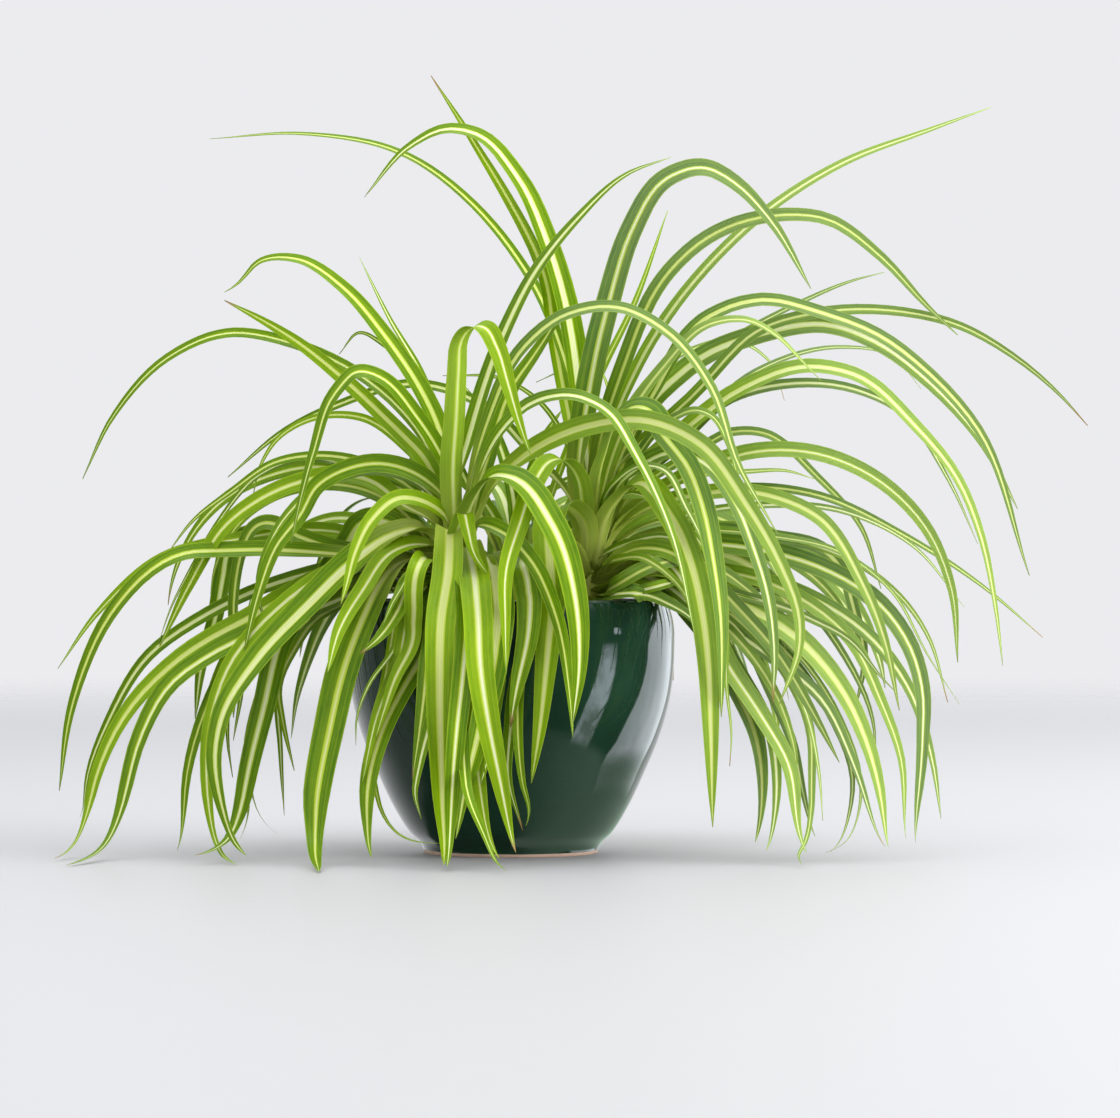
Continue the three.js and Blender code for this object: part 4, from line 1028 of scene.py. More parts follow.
@dataclass(frozen=True)
class Curtain:
    """The leaves that hang in front of the pot, kept from cutting through each other."""

    reach: float = 60.0
    depth: float = -60.0
    top: float = 158.0
    level: float = 4.5
    gap: float = 1.2
    fold_share: float = 0.35
    passes: int = 60
    step: float = 0.35
    evenings: int = 8
    root_rows: float = 9.0

    def layered(self, paths: Array, widths: Array) -> Array:
        """Spreads the hanging leaves in depth, in the order in which they hang.

        Where two leaves cover each other as seen from the front, the one that is nearer on
        the average over all such places stays nearer at each of them, by a gap plus a share
        of the other's half-width, for its raised margins. A leaf's moves are evened out
        along it, and none takes it into the pot.

        Args:
            paths: Every leaf's path, leaves by rows by three.
            widths: Every leaf's greatest width.

        Returns:
            The paths, moved in depth only.
        """
        hung = np.flatnonzero(paths[:, 0, 1] - paths[:, -1, 1] > self.reach)
        mine = paths[hung]
        count, rows = mine.shape[:2]
        s = np.linspace(0, 1, rows)[None]
        full = widths[hung][:, None]
        half = blade_width(full, s, BLADE.tip_width, BLADE.root_share, BLADE.taper).ravel() / 2
        across, depth, height = (mine[..., k].ravel() for k in range(3))
        leaf = np.repeat(np.arange(count), rows)
        free = np.tile(smooth(np.arange(rows) / self.root_rows), count)
        inside = (depth < self.depth) & (height < self.top)
        near = np.abs(height[:, None] - height[None]) < self.level
        near &= np.abs(across[:, None] - across[None]) < half[:, None] + half[None]
        near &= inside[:, None] & inside[None] & (leaf[:, None] < leaf[None])
        a, b = np.nonzero(near)
        pair = leaf[a] * count + leaf[b]
        behind = np.bincount(pair, depth[a] - depth[b], count * count)
        b_nearer = behind[pair] > 0
        front, back = np.where(b_nearer, b, a), np.where(b_nearer, a, b)
        need = self.gap + self.fold_share * half[back]
        for _ in range(self.passes):
            short = np.maximum(need - (depth[back] - depth[front]), 0) * self.step
            forward = np.zeros_like(depth)
            backward = np.zeros_like(depth)
            np.maximum.at(forward, front, short)
            np.maximum.at(backward, back, short)
            move = ((backward - forward) * free).reshape(count, rows)
            even_out(move.T, self.evenings)
            depth = depth + move.ravel()
            wall = POT.radius_at(height) + Easing.soft_margin
            face = -np.sqrt(np.maximum(wall * wall - across * across, 0))
            kept = inside & (height < POT.height + Easing.soft_margin) & (face < 0)
            depth = np.where(kept, np.minimum(depth, face), depth)
        paths[hung, :, 1] = depth.reshape(count, rows)
        return paths


# ---- meshes ----


@dataclass
class Surfaces:
    """Vertices and faces of one piece, with the values that its material reads."""

    points: Array
    quads: Array
    uv: Array
    values: dict[str, Array]

    def joined(self, other: "Surfaces") -> "Surfaces":
        """Both sets of surfaces as one, for one mesh.

        Args:
            other: Surfaces that have the same values.

        Returns:
            The surfaces together.
        """
        values = {key: np.concatenate((mine, other.values[key])) for key, mine in self.values.items()}
        return Surfaces(
            np.concatenate((self.points, other.points)),
            np.concatenate((self.quads, other.quads + len(self.points))),
            np.concatenate((self.uv, other.uv)),
            values,
        )

    def build(self, name: str) -> bpy.types.Object:
        """Makes the mesh object, in metres, shaded smooth.

        Args:
            name: The piece's name.

        Returns:
            The new object, linked to the scene.
        """
        mesh = bpy.data.meshes.new(name)
        count = len(self.quads)
        mesh.vertices.add(len(self.points))
        mesh.vertices.foreach_set("co", (self.points * MM).astype(np.float32).ravel())
        mesh.loops.add(count * 4)
        mesh.loops.foreach_set("vertex_index", self.quads.astype(np.int32).ravel())
        mesh.polygons.add(count)
        mesh.polygons.foreach_set("loop_start", (np.arange(count) * 4).astype(np.int32))
        mesh.polygons.foreach_set("use_smooth", np.ones(count, bool))
        layer = mesh.uv_layers.new(name="blade")
        layer.data.foreach_set("uv", self.uv[self.quads.ravel()].astype(np.float32).ravel())
        for key, value in self.values.items():
            attribute = mesh.attributes.new(key, "FLOAT", "POINT")
            attribute.data.foreach_set("value", value.astype(np.float32))
        mesh.update(calc_edges=True)
        mesh.validate()
        if "margin" in self.values:
            self.sharpen(mesh)
        made = bpy.data.objects.new(name, mesh)
        bpy.context.scene.collection.objects.link(made)
        return made

    def sharpen(self, mesh: bpy.types.Mesh) -> None:
        """Marks the edges between two points of the same margin line as sharp.

        Args:
            mesh: The mesh made from these surfaces.
        """
        ends = np.empty(len(mesh.edges) * 2, np.int32)
        mesh.edges.foreach_get("vertices", ends)
        line = self.values["margin"][ends.reshape(-1, 2)]
        sharp = (line[:, 0] > 0) & (line[:, 0] == line[:, 1])
        marks = mesh.attributes.new("sharp_edge", "BOOLEAN", "EDGE")
        marks.data.foreach_set("value", sharp)


def strip_quads(rows: int, ring: int) -> Array:
    """Quads of a tube of rows, each a closed ring, facing out where the ring turns so.

    Args:
        rows: How many rings there are.
        ring: How many points a ring has.

    Returns:
        Vertex numbers, four for each quad.
    """
    i, k = np.meshgrid(np.arange(rows - 1), np.arange(ring), indexing="ij")
    after = (k + 1) % ring
    quads = (i * ring + k, (i + 1) * ring + k, (i + 1) * ring + after, i * ring + after)
    return np.stack(quads, axis=-1).reshape(-1, 4)


def lathe(profile: Array, sides: int, least: float = 0.05) -> tuple[Array, Array, Array]:
    """A closed solid turned about the Z axis from a profile that starts and ends on it.

    A point at angle a on a ring of radius r is (r cos a, r sin a, z). The two ends are
    brought to rings of the least radius, each closed by quads across it.

    Args:
        profile: Radii and heights, from the bottom's middle outward and round to the top's.
        sides: How many points a ring has, an even number.
        least: The least radius of a ring.

    Returns:
        Points, quads and uv.
    """
    radii = np.maximum(profile[:, 0], least)
    angle = np.arange(sides) * 2 * math.pi / sides
    ring = np.stack((np.cos(angle), np.sin(angle)), axis=-1)
    flat = radii[:, None, None] * ring[None]
    height = np.broadcast_to(profile[:, 1, None, None], (len(radii), sides, 1))
    points = np.concatenate((flat, height), axis=2).reshape(-1, 3)
    quads = strip_quads(len(radii), sides)[:, ::-1]
    k = np.arange(sides // 2 - 1)
    low = np.stack((k, k + 1, sides - 2 - k, sides - 1 - k), axis=1)
    high = low[:, ::-1] + (len(radii) - 1) * sides
    run = running_length(profile)
    u = np.broadcast_to(angle[None] / (2 * math.pi), (len(radii), sides))
    v = np.broadcast_to((run / run[-1])[:, None], (len(radii), sides))
    uv = np.stack((u, v), axis=-1).reshape(-1, 2)
    return points, np.concatenate((quads, low[:, ::-1], high[:, ::-1])), uv


# ---- finishes ----


class NodeBench:
    """Adds nodes to one shader tree and wires them."""

    def __init__(self, tree: bpy.types.NodeTree) -> None:
        """Works on a tree."""
        self.tree = tree

    def add(self, kind: str, settings: dict | None = None, **inputs: object) -> bpy.types.Node:
        """Adds a node.

        Args:
            kind: The node's Blender type.
            settings: Values of the node's own settings.
            **inputs: Sockets by name, with _ for a space: a value, or a socket to link.

        Returns:
            The node.
        """
        node = self.tree.nodes.new(kind)
        for key, value in (settings or {}).items():
            setattr(node, key, value)
        for key, value in inputs.items():
            self.feed(node, key.replace("_", " "), value)
        return node

    def feed(self, node: bpy.types.Node, name: str | int, value: object) -> None:
        """Links a socket to a node's input, or sets the input's value.

        Args:
            node: The node.
            name: The input's name or its number.
            value: The value, or the socket to link.
        """
        socket = node.inputs[name]
        if isinstance(value, Socket):
            self.tree.links.new(value, socket)
        else:
            socket.default_value = value

    def math(self, operation: str, a: object, b: object = 0.0, clamp: bool = False) -> Socket:
        """A Math node's result on two values.

        Args:
            operation: The node's operation.
            a: The first value or socket.
            b: The second.
            clamp: Whether the result is held between 0 and 1.

        Returns:
            The result's socket.
        """
        node = self.add("ShaderNodeMath", {"operation": operation, "use_clamp": clamp})
        self.feed(node, 0, a)
        self.feed(node, 1, b)
        return node.outputs[0]

    def product(self, a: object, b: object) -> Socket:
        """Two values multiplied."""
        return self.math("MULTIPLY", a, b)

    def step(self, value: object, low: object, high: object) -> Socket:
        """A smooth step of a value.

        Args:
            value: The value or socket.
            low: Where the step is 0, a value or a socket.
            high: Where it is 1.

        Returns:
            The step's socket.
        """
        node = self.add("ShaderNodeMapRange", {"interpolation_type": "SMOOTHSTEP"})
        self.feed(node, "Value", value)
        self.feed(node, "From Min", low)
        self.feed(node, "From Max", high)
        return node.outputs["Result"]

    def blend(self, factor: object, a: object, b: object, kind: str = "MIX") -> Socket:
        """A colour mixed from two others.

        Args:
            factor: How much of the second shows, a value or a socket.
            a: The first colour or socket.
            b: The second.
            kind: The Mix node's way of mixing.

        Returns:
            The colour's socket.
        """
        node = self.add("ShaderNodeMix", {"data_type": "RGBA", "blend_type": kind})
        self.feed(node, 0, factor)
        self.feed(node, 6, a)
        self.feed(node, 7, b)
        return node.outputs[2]

    def stretched(self, source: object, scale: tuple[float, float, float]) -> Socket:
        """Coordinates stretched by a scale along each axis."""
        node = self.add("ShaderNodeMapping", Vector=source, Scale=scale)
        return node.outputs["Vector"]


def rgb(red: int, green: int, blue: int) -> Colour:
    """A display colour as a linear colour, by the sRGB rule, with full alpha.

    Args:
        red: The red part, from 0 to 255.
        green: The green part.
        blue: The blue part.

    Returns:
        The linear colour's four parts.
    """
    shown = np.array([red, green, blue]) / 255
    linear = np.where(shown <= 0.04045, shown / 12.92, ((shown + 0.055) / 1.055) ** 2.4)
    return (float(linear[0]), float(linear[1]), float(linear[2]), 1.0)


def mottle_group() -> bpy.types.NodeTree:
    """The group that gives soft uneven patches, used by leaf, glaze and soil.

    It puts out one value of 0 to 1 that drifts over the surface: coarse noise plus a third
    as much of a noise five times finer.

    Returns:
        The shader node group.
    """
    known = bpy.data.node_groups.get("mottle")
    if known:
        return known
    tree = bpy.data.node_groups.new("mottle", "ShaderNodeTree")
    face = tree.interface
    face.new_socket("Vector", in_out="INPUT", socket_type="NodeSocketVector")
    face.new_socket("Scale", in_out="INPUT", socket_type="NodeSocketFloat")
    face.new_socket("Contrast", in_out="INPUT", socket_type="NodeSocketFloat")
    face.new_socket("Value", in_out="OUTPUT", socket_type="NodeSocketFloat")
    bench = NodeBench(tree)
    given = bench.add("NodeGroupInput")
    put = bench.add("NodeGroupOutput")
    place, scale, contrast = (given.outputs[name] for name in ("Vector", "Scale", "Contrast"))
    coarse = bench.add("ShaderNodeTexNoise", Vector=place, Scale=scale, Detail=2.0)
    fine_scale = bench.product(scale, 5.0)
    fine = bench.add("ShaderNodeTexNoise", Vector=place, Scale=fine_scale, Detail=3.0)
    third = bench.product(bench.math("SUBTRACT", fine.outputs["Fac"], 0.5), 0.33)
    both = bench.math("ADD", coarse.outputs["Fac"], third)
    centred = bench.math("SUBTRACT", both, 0.5)
    spread = bench.product(centred, contrast)
    result = bench.math("ADD", spread, 0.5, clamp=True)
    tree.links.new(result, put.inputs["Value"])
    return tree


def new_material(name: str) -> tuple[bpy.types.Material, NodeBench, bpy.types.Node]:
    """An empty node material with its output node.

    Args:
        name: The material's name.

    Returns:
        The material, a bench on its tree and its output node.
    """
    material = bpy.data.materials.new(name)
    material.use_nodes = True
    material.node_tree.nodes.clear()
    bench = NodeBench(material.node_tree)
    return material, bench, bench.add("ShaderNodeOutputMaterial")


def mottle(bench: NodeBench, source: object, scale: float, contrast: float) -> Socket:
    """Places the mottle group in a material.

    Args:
        bench: The material's bench.
        source: The coordinates' socket.
        scale: The coarse noise's scale.
        contrast: How far the result drifts from its middle.

    Returns:
        The result's socket.
    """
    node = bench.add("ShaderNodeGroup", {"node_tree": mottle_group()})
    bench.feed(node, "Vector", source)
    bench.feed(node, "Scale", scale)
    bench.feed(node, "Contrast", contrast)
    return node.outputs["Value"]


@dataclass(frozen=True)
class LeafFinish:
    """Striped leaf: green margins, a cream stripe along the middle, veins and a soft gloss.

    Lengths across are shares of the half-width, and lengths along are shares of the blade.
    """

    bright: Colour = rgb(142, 180, 0)
    deep: Colour = rgb(64, 114, 0)
    border: Colour = rgb(190, 210, 50)
    cream: Colour = rgb(243, 245, 212)
    butter: Colour = rgb(225, 231, 158)
    pale_base: Colour = rgb(222, 228, 118)
    underside: Colour = rgb(172, 194, 84)
    dry: Colour = rgb(168, 140, 84)
    glow: Colour = rgb(244, 246, 136)
    # Painted sheen: a bluish grey laid over the leaves that hang right, standing in for the window's light.
    painted_window_sheen: Colour = rgb(206, 198, 222)
    drift_stretch: tuple[float, float, float] = (1.5, 6.0, 1.0)
    vein_stretch: tuple[float, float, float] = (15.0, 1.3, 1.0)
    stripe_wander: float = 0.1
    stripe_narrowing: float = 0.3
    inner_edge: float = 0.08
    outer_edge: float = 0.05
    border_edge: float = 0.12
    tone_share: float = 0.6
    drift_share: float = 0.5
    green_streaks: float = 0.2
    stripe_streaks: float = 0.4
    # How strongly the painted pale highlight along each margin shows.
    painted_edge_highlight_share: float = 0.45
    base_length: float = 0.28
    base_share: float = 0.8
    underside_share: float = 0.35
    # How strongly the painted window sheen pales those leaves.
    painted_window_sheen_share: float = 0.11
    glow_share: float = 0.6
    roughness: float = 0.38
    sheen: float = 0.25
    translucency: float = 0.4

    def build(self) -> bpy.types.Material:
        """Makes the material from the blade's own uv and values.

        Returns:
            The material: a glossy coloured skin mixed with light that shines through.
        """
        material, bench, output = new_material("striped_leaf")
        uv = bench.add("ShaderNodeUVMap", {"uv_map": "blade"}).outputs["UV"]
        parts = bench.add("ShaderNodeSeparateXYZ", Vector=uv)
        across, along = parts.outputs["X"], parts.outputs["Y"]
        drift = mottle(bench, bench.stretched(uv, self.drift_stretch), scale=2.0, contrast=1.6)
        stretched = bench.stretched(uv, self.vein_stretch)
        veins = bench.add("ShaderNodeTexNoise", Vector=stretched, Scale=1.0, Detail=1.0).outputs["Fac"]
        colour = self.striped(bench, across, along, drift, veins)
        colour = self.aged_and_painted_sheen(bench, colour, along)
        roughest = bench.product(drift, 0.14)
        rough = bench.math("ADD", roughest, self.roughness - 0.06)
        bump = bench.add("ShaderNodeBump", Strength=0.1, Distance=0.0004, Height=veins)
        normal = bump.outputs["Normal"]
        gloss = bench.add("ShaderNodeBsdfPrincipled", Base_Color=colour, Roughness=rough, Normal=normal)
        bench.feed(gloss, "Specular IOR Level", self.sheen)
        lit = bench.blend(self.glow_share, colour, self.glow, "MULTIPLY")
        through = bench.add("ShaderNodeBsdfTranslucent", Color=lit, Normal=normal)
        shader = bench.add("ShaderNodeMixShader")
        bench.feed(shader, 0, self.translucency)
        bench.feed(shader, 1, gloss.outputs["BSDF"])
        bench.feed(shader, 2, through.outputs["BSDF"])
        bench.feed(output, "Surface", shader.outputs["Shader"])
        return material

    def striped(
        self, bench: NodeBench, across: Socket, along: Socket, drift: Socket, veins: Socket
    ) -> Socket:
        """The green blade with its stripe, the stripe's border and a painted pale highlight along the
        margins.

        Args:
            bench: The material's bench.
            across: The place across the blade, from 0 to 1.
            along: The place along it, from 0 at the root to 1.
            drift: Soft patches of 0 to 1.
            veins: Fine lines of 0 to 1 that run along the blade.

        Returns:
            The colour's socket.
        """
        middle = bench.math("ABSOLUTE", bench.math("SUBTRACT", across, 0.5))
        centre = bench.product(middle, 2.0)
        wander = bench.product(bench.math("SUBTRACT", veins, 0.5), self.stripe_wander)
        uneven = bench.math("ADD", centre, wander)
        narrowing = bench.math("SUBTRACT", 1.0, bench.product(along, self.stripe_narrowing))
        reach = bench.product(self.value(bench, "stripe"), narrowing)
        inner = bench.math("SUBTRACT", reach, self.inner_edge)
        outer = bench.math("ADD", reach, self.outer_edge)
        off_stripe = bench.step(uneven, inner, outer)
        off_border = bench.step(uneven, outer, bench.math("ADD", reach, self.border_edge))
        toned = bench.product(self.value(bench, "tone"), self.tone_share)
        shade = bench.math("ADD", toned, bench.product(drift, self.drift_share), clamp=True)
        green = bench.blend(shade, self.bright, self.deep)
        streak = bench.step(veins, low=0.4, high=0.62)
        green = bench.blend(bench.product(streak, self.green_streaks), green, self.border)
        banded = bench.blend(off_border, self.border, green)
        pale = bench.blend(self.value(bench, "butter"), self.cream, self.butter)
        creamy = bench.blend(bench.product(streak, self.stripe_streaks), pale, self.border)
        colour = bench.blend(off_stripe, creamy, banded)
        # Painted highlight: a pale line along each margin, standing in for light caught by the edges.
        margin = bench.product(bench.step(centre, low=0.9, high=0.98), self.painted_edge_highlight_share)
        return bench.blend(margin, colour, self.border)

    def aged_and_painted_sheen(self, bench: NodeBench, colour: Socket, along: Socket) -> Socket:
        """The colour with a pale root, a dull underside, a painted bluish-grey window sheen on the leaves
        that hang right, and a dry tip.

        Args:
            bench: The material's bench.
            colour: The striped colour.
            along: The place along the blade.

        Returns:
            The colour's socket.
        """
        base = bench.product(bench.step(along, self.base_length, 0.0), self.base_share)
        colour = bench.blend(base, colour, self.pale_base)
        under = bench.product(self.value(bench, "under"), self.underside_share)
        colour = bench.blend(under, colour, self.underside)
        # Painted sheen: the leaves that hang right are paled towards a bluish grey, standing in for the
        # window's light.
        painted_window_sheen = bench.product(self.value(bench, "outer"), bench.step(along, low=0.15, high=0.6))
        colour = bench.blend(bench.product(painted_window_sheen, self.painted_window_sheen_share), colour, self.painted_window_sheen)
        withered = bench.product(bench.step(along, low=0.95, high=0.99), self.value(bench, "dry"))
        return bench.blend(withered, colour, self.dry)

    @staticmethod
    def value(bench: NodeBench, name: str) -> Socket:
        """One of the piece's own values, by name."""
        return bench.add("ShaderNodeAttribute", {"attribute_name": name}).outputs["Fac"]


@dataclass(frozen=True)
class GlazeFinish:
    """Deep green gloss glaze over a pale body that shows bare at the foot."""

    glaze: Colour = rgb(27, 57, 41)
    pooled: Colour = rgb(14, 38, 23)
    body: Colour = rgb(206, 176, 158)
    grit: Colour = rgb(150, 120, 104)
    roughness: float = 0.05
    bare_roughness: float = 0.7
    refraction: float = 1.52
    bare_height: float = 1.8
    bare_edge: float = 0.5
    edge_drift: float = 0.8

    def build(self) -> bpy.types.Material:
        """Makes the material from the pot's own place in the frame.

        Returns:
            The material.
        """
        material, bench, output = new_material("green_glaze")
        place = bench.add("ShaderNodeTexCoord").outputs["Object"]
        height = bench.add("ShaderNodeSeparateXYZ", Vector=place).outputs["Z"]
        patches = mottle(bench, place, scale=14.0, contrast=1.4)
        glaze = bench.blend(patches, self.glaze, self.pooled)
        drift = bench.product(bench.math("SUBTRACT", patches, 0.5), self.edge_drift * MM)
        bare = self.bare_height * MM
        glazed = bench.step(bench.math("ADD", height, drift), bare, bare + self.bare_edge * MM)
        grit = mottle(bench, place, scale=260.0, contrast=1.8)
        body = bench.blend(bench.product(grit, 0.3), self.body, self.grit)
        colour = bench.blend(glazed, body, glaze)
        unglazed = bench.math("SUBTRACT", 1.0, glazed)
        rough = bench.math("ADD", bench.product(unglazed, self.bare_roughness), self.roughness)
        ripple = mottle(bench, place, scale=24.0, contrast=1.0)
        bump = bench.add("ShaderNodeBump", Strength=0.12, Distance=0.0006, Height=ripple)
        normal = bump.outputs["Normal"]
        shader = bench.add("ShaderNodeBsdfPrincipled", Base_Color=colour, Roughness=rough, Normal=normal)
        bench.feed(shader, "IOR", self.refraction)
        bench.feed(output, "Surface", shader.outputs["BSDF"])
        return material


@dataclass(frozen=True)
class SoilFinish:
    """Loose potting mix: dark crumbs, paler fibres and a few white grains."""

    dark: Colour = rgb(38, 28, 22)
    fibre: Colour = rgb(96, 72, 52)
    grain: Colour = rgb(214, 208, 196)
    fibre_share: float = 0.8
    roughness: float = 0.92

    def build(self) -> bpy.types.Material:
        """Makes the material from the soil's own place in the frame.

        Returns:
            The material.
        """
        material, bench, output = new_material("potting_mix")
        place = bench.add("ShaderNodeTexCoord").outputs["Object"]
        crumbs = mottle(bench, place, scale=160.0, contrast=2.4)
        colour = bench.blend(bench.product(crumbs, self.fibre_share), self.dark, self.fibre)
        cells = bench.add("ShaderNodeTexVoronoi", Vector=place, Scale=210.0)
        chosen = bench.add("ShaderNodeSeparateColor", Color=cells.outputs["Color"]).outputs["Red"]
        near = bench.step(cells.outputs["Distance"], low=0.34, high=0.22)
        grains = bench.product(near, bench.step(chosen, low=0.93, high=0.95))
        colour = bench.blend(grains, colour, self.grain)
        relief = bench.math("ADD", crumbs, bench.product(cells.outputs["Distance"], -0.6))
        bump = bench.add("ShaderNodeBump", Strength=0.9, Distance=0.0025, Height=relief)
        normal = bump.outputs["Normal"]
        shader = bench.add("ShaderNodeBsdfPrincipled", Base_Color=colour, Normal=normal)
        bench.feed(shader, "Roughness", self.roughness)
        bench.feed(output, "Surface", shader.outputs["BSDF"])
        return material


# ---- pieces ----


def fit_out(piece: bpy.types.Object, node: str, material: bpy.types.Material) -> None:
    """Dresses a piece, puts it on the body and lets it stand for its solid.

    Args:
        piece: The finished mesh object.
        node: The solid that it replaces.
        material: Its finish.
    """
    piece.data.materials.append(material)
    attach(piece, "root")
    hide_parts(node)
    corners = np.empty(len(piece.data.polygons), np.int32)
    piece.data.polygons.foreach_get("loop_total", corners)
    LOG.info("%s: %d triangles", piece.name, np.sum(corners - 2))


@dataclass
class Pot:
    """The round glazed pot."""

    size: PotSize = POT
    sides: int = 144
    per_stretch: int = 7
    foot: tuple[tuple[float, float], ...] = ((0, 0), (30, 0), (51.2, 0), (51.85, 0.3))
    foot_height: float = 1.0

    def profile(self) -> Array:
        """Radii and heights from the foot's middle round to the inside's middle.

        Outside and inside are smooth curves through their named points. The foot's edge is
        a small round.

        Returns:
            The profile's points, radius and height.
        """
        foot = np.array(self.foot)
        outer = self.curve(self.size.outside)
        outer = outer[outer[:, 1] > self.foot_height]
        rim = self.curve(self.size.outside[-1:] + self.size.rim)
        inner = self.curve(self.size.rim[-1:] + self.size.inside[:-1])
        return np.concatenate((foot, outer, rim[1:], inner[1:], [self.size.inside[-1]]))

    def curve(self, points: tuple[tuple[float, float], ...]) -> Array:
        """A smooth curve of radius and height through some points."""
        flat = np.array([(r, 0.0, z) for r, z in points])
        return smooth_path(flat, (len(points) - 1) * self.per_stretch + 1)[:, [0, 2]]

    def build(self, finish: GlazeFinish) -> None:
        """Makes the pot and dresses it.

        Args:
            finish: Its glaze.
        """
        points, quads, uv = lathe(self.profile(), self.sides)
        piece = Surfaces(points, quads, uv, {}).build("pot_glazed")
        fit_out(piece, "pot", finish.build())


@dataclass
class Soil:
    """The potting mix, crumbly on top."""

    top: float = 133.2
    rise: float = 2.0
    radius: float = 90.4
    rings: int = 96
    sides: int = 240
    wall: tuple[tuple[float, float], ...] = (
        (0, 10.0), (34, 10.0), (58, 27.0), (74.5, 53.0), (85, 80.0), (90, 118.0),
    )
    crumb: float = 0.75
    crumb_floor: float = 125.0
    crumb_fade: float = 4.0
    waves: int = 60
    longest: float = 24.0
    shortest: float = 2.6
    seed: int = 5

    def crumbs(self, x: Array, y: Array) -> Array:
        """Heights of crumbs: a sum of waves of random way and start, from long to short.

        Each wave is a cosine of the distance along its way, weighted by the square root of
        its wavelength, so that clods of 20 mm carry crumbs of 2 mm.

        Args:
            x: Places across.
            y: Places in depth.

        Returns:
            Heights from -1 to 1.
        """
        draw = np.random.default_rng(self.seed)
        way = draw.uniform(0, 2 * math.pi, self.waves)
        wavelength = np.geomspace(self.longest, self.shortest, self.waves)
        start = draw.uniform(0, 2 * math.pi, self.waves)
        total = np.zeros_like(x)
        for angle, length, phase in zip(way, wavelength, start):
            along = x * math.cos(angle) + y * math.sin(angle)
            total += np.cos(along * 2 * math.pi / length + phase) * (length / self.longest) ** 0.5
        return total / np.abs(total).max()

    def build(self, finish: SoilFinish) -> None:
        """Makes the soil and dresses it.

        The top is rings of points from the wall to the middle, raised by the crumbs. Under
        it the wall goes down inside the pot to a flat bottom.

        Args:
            finish: The mix's look.
        """
        out = np.linspace(1.0, 0.0, self.rings)
        top = np.column_stack((self.radius * out, self.top + self.rise * (1 - out)))
        points, quads, uv = lathe(np.concatenate((np.array(self.wall), top)), self.sides)
        above = points[:, 2] > self.crumb_floor
        fade = smooth((self.radius - np.hypot(points[:, 0], points[:, 1])) / self.crumb_fade)
        lift = self.crumb * self.crumbs(points[:, 0], points[:, 1]) * fade
        points[:, 2] += np.where(above, lift, 0)
        piece = Surfaces(points, quads, uv, {}).build("soil_crumbled")
        fit_out(piece, "soil", finish.build())


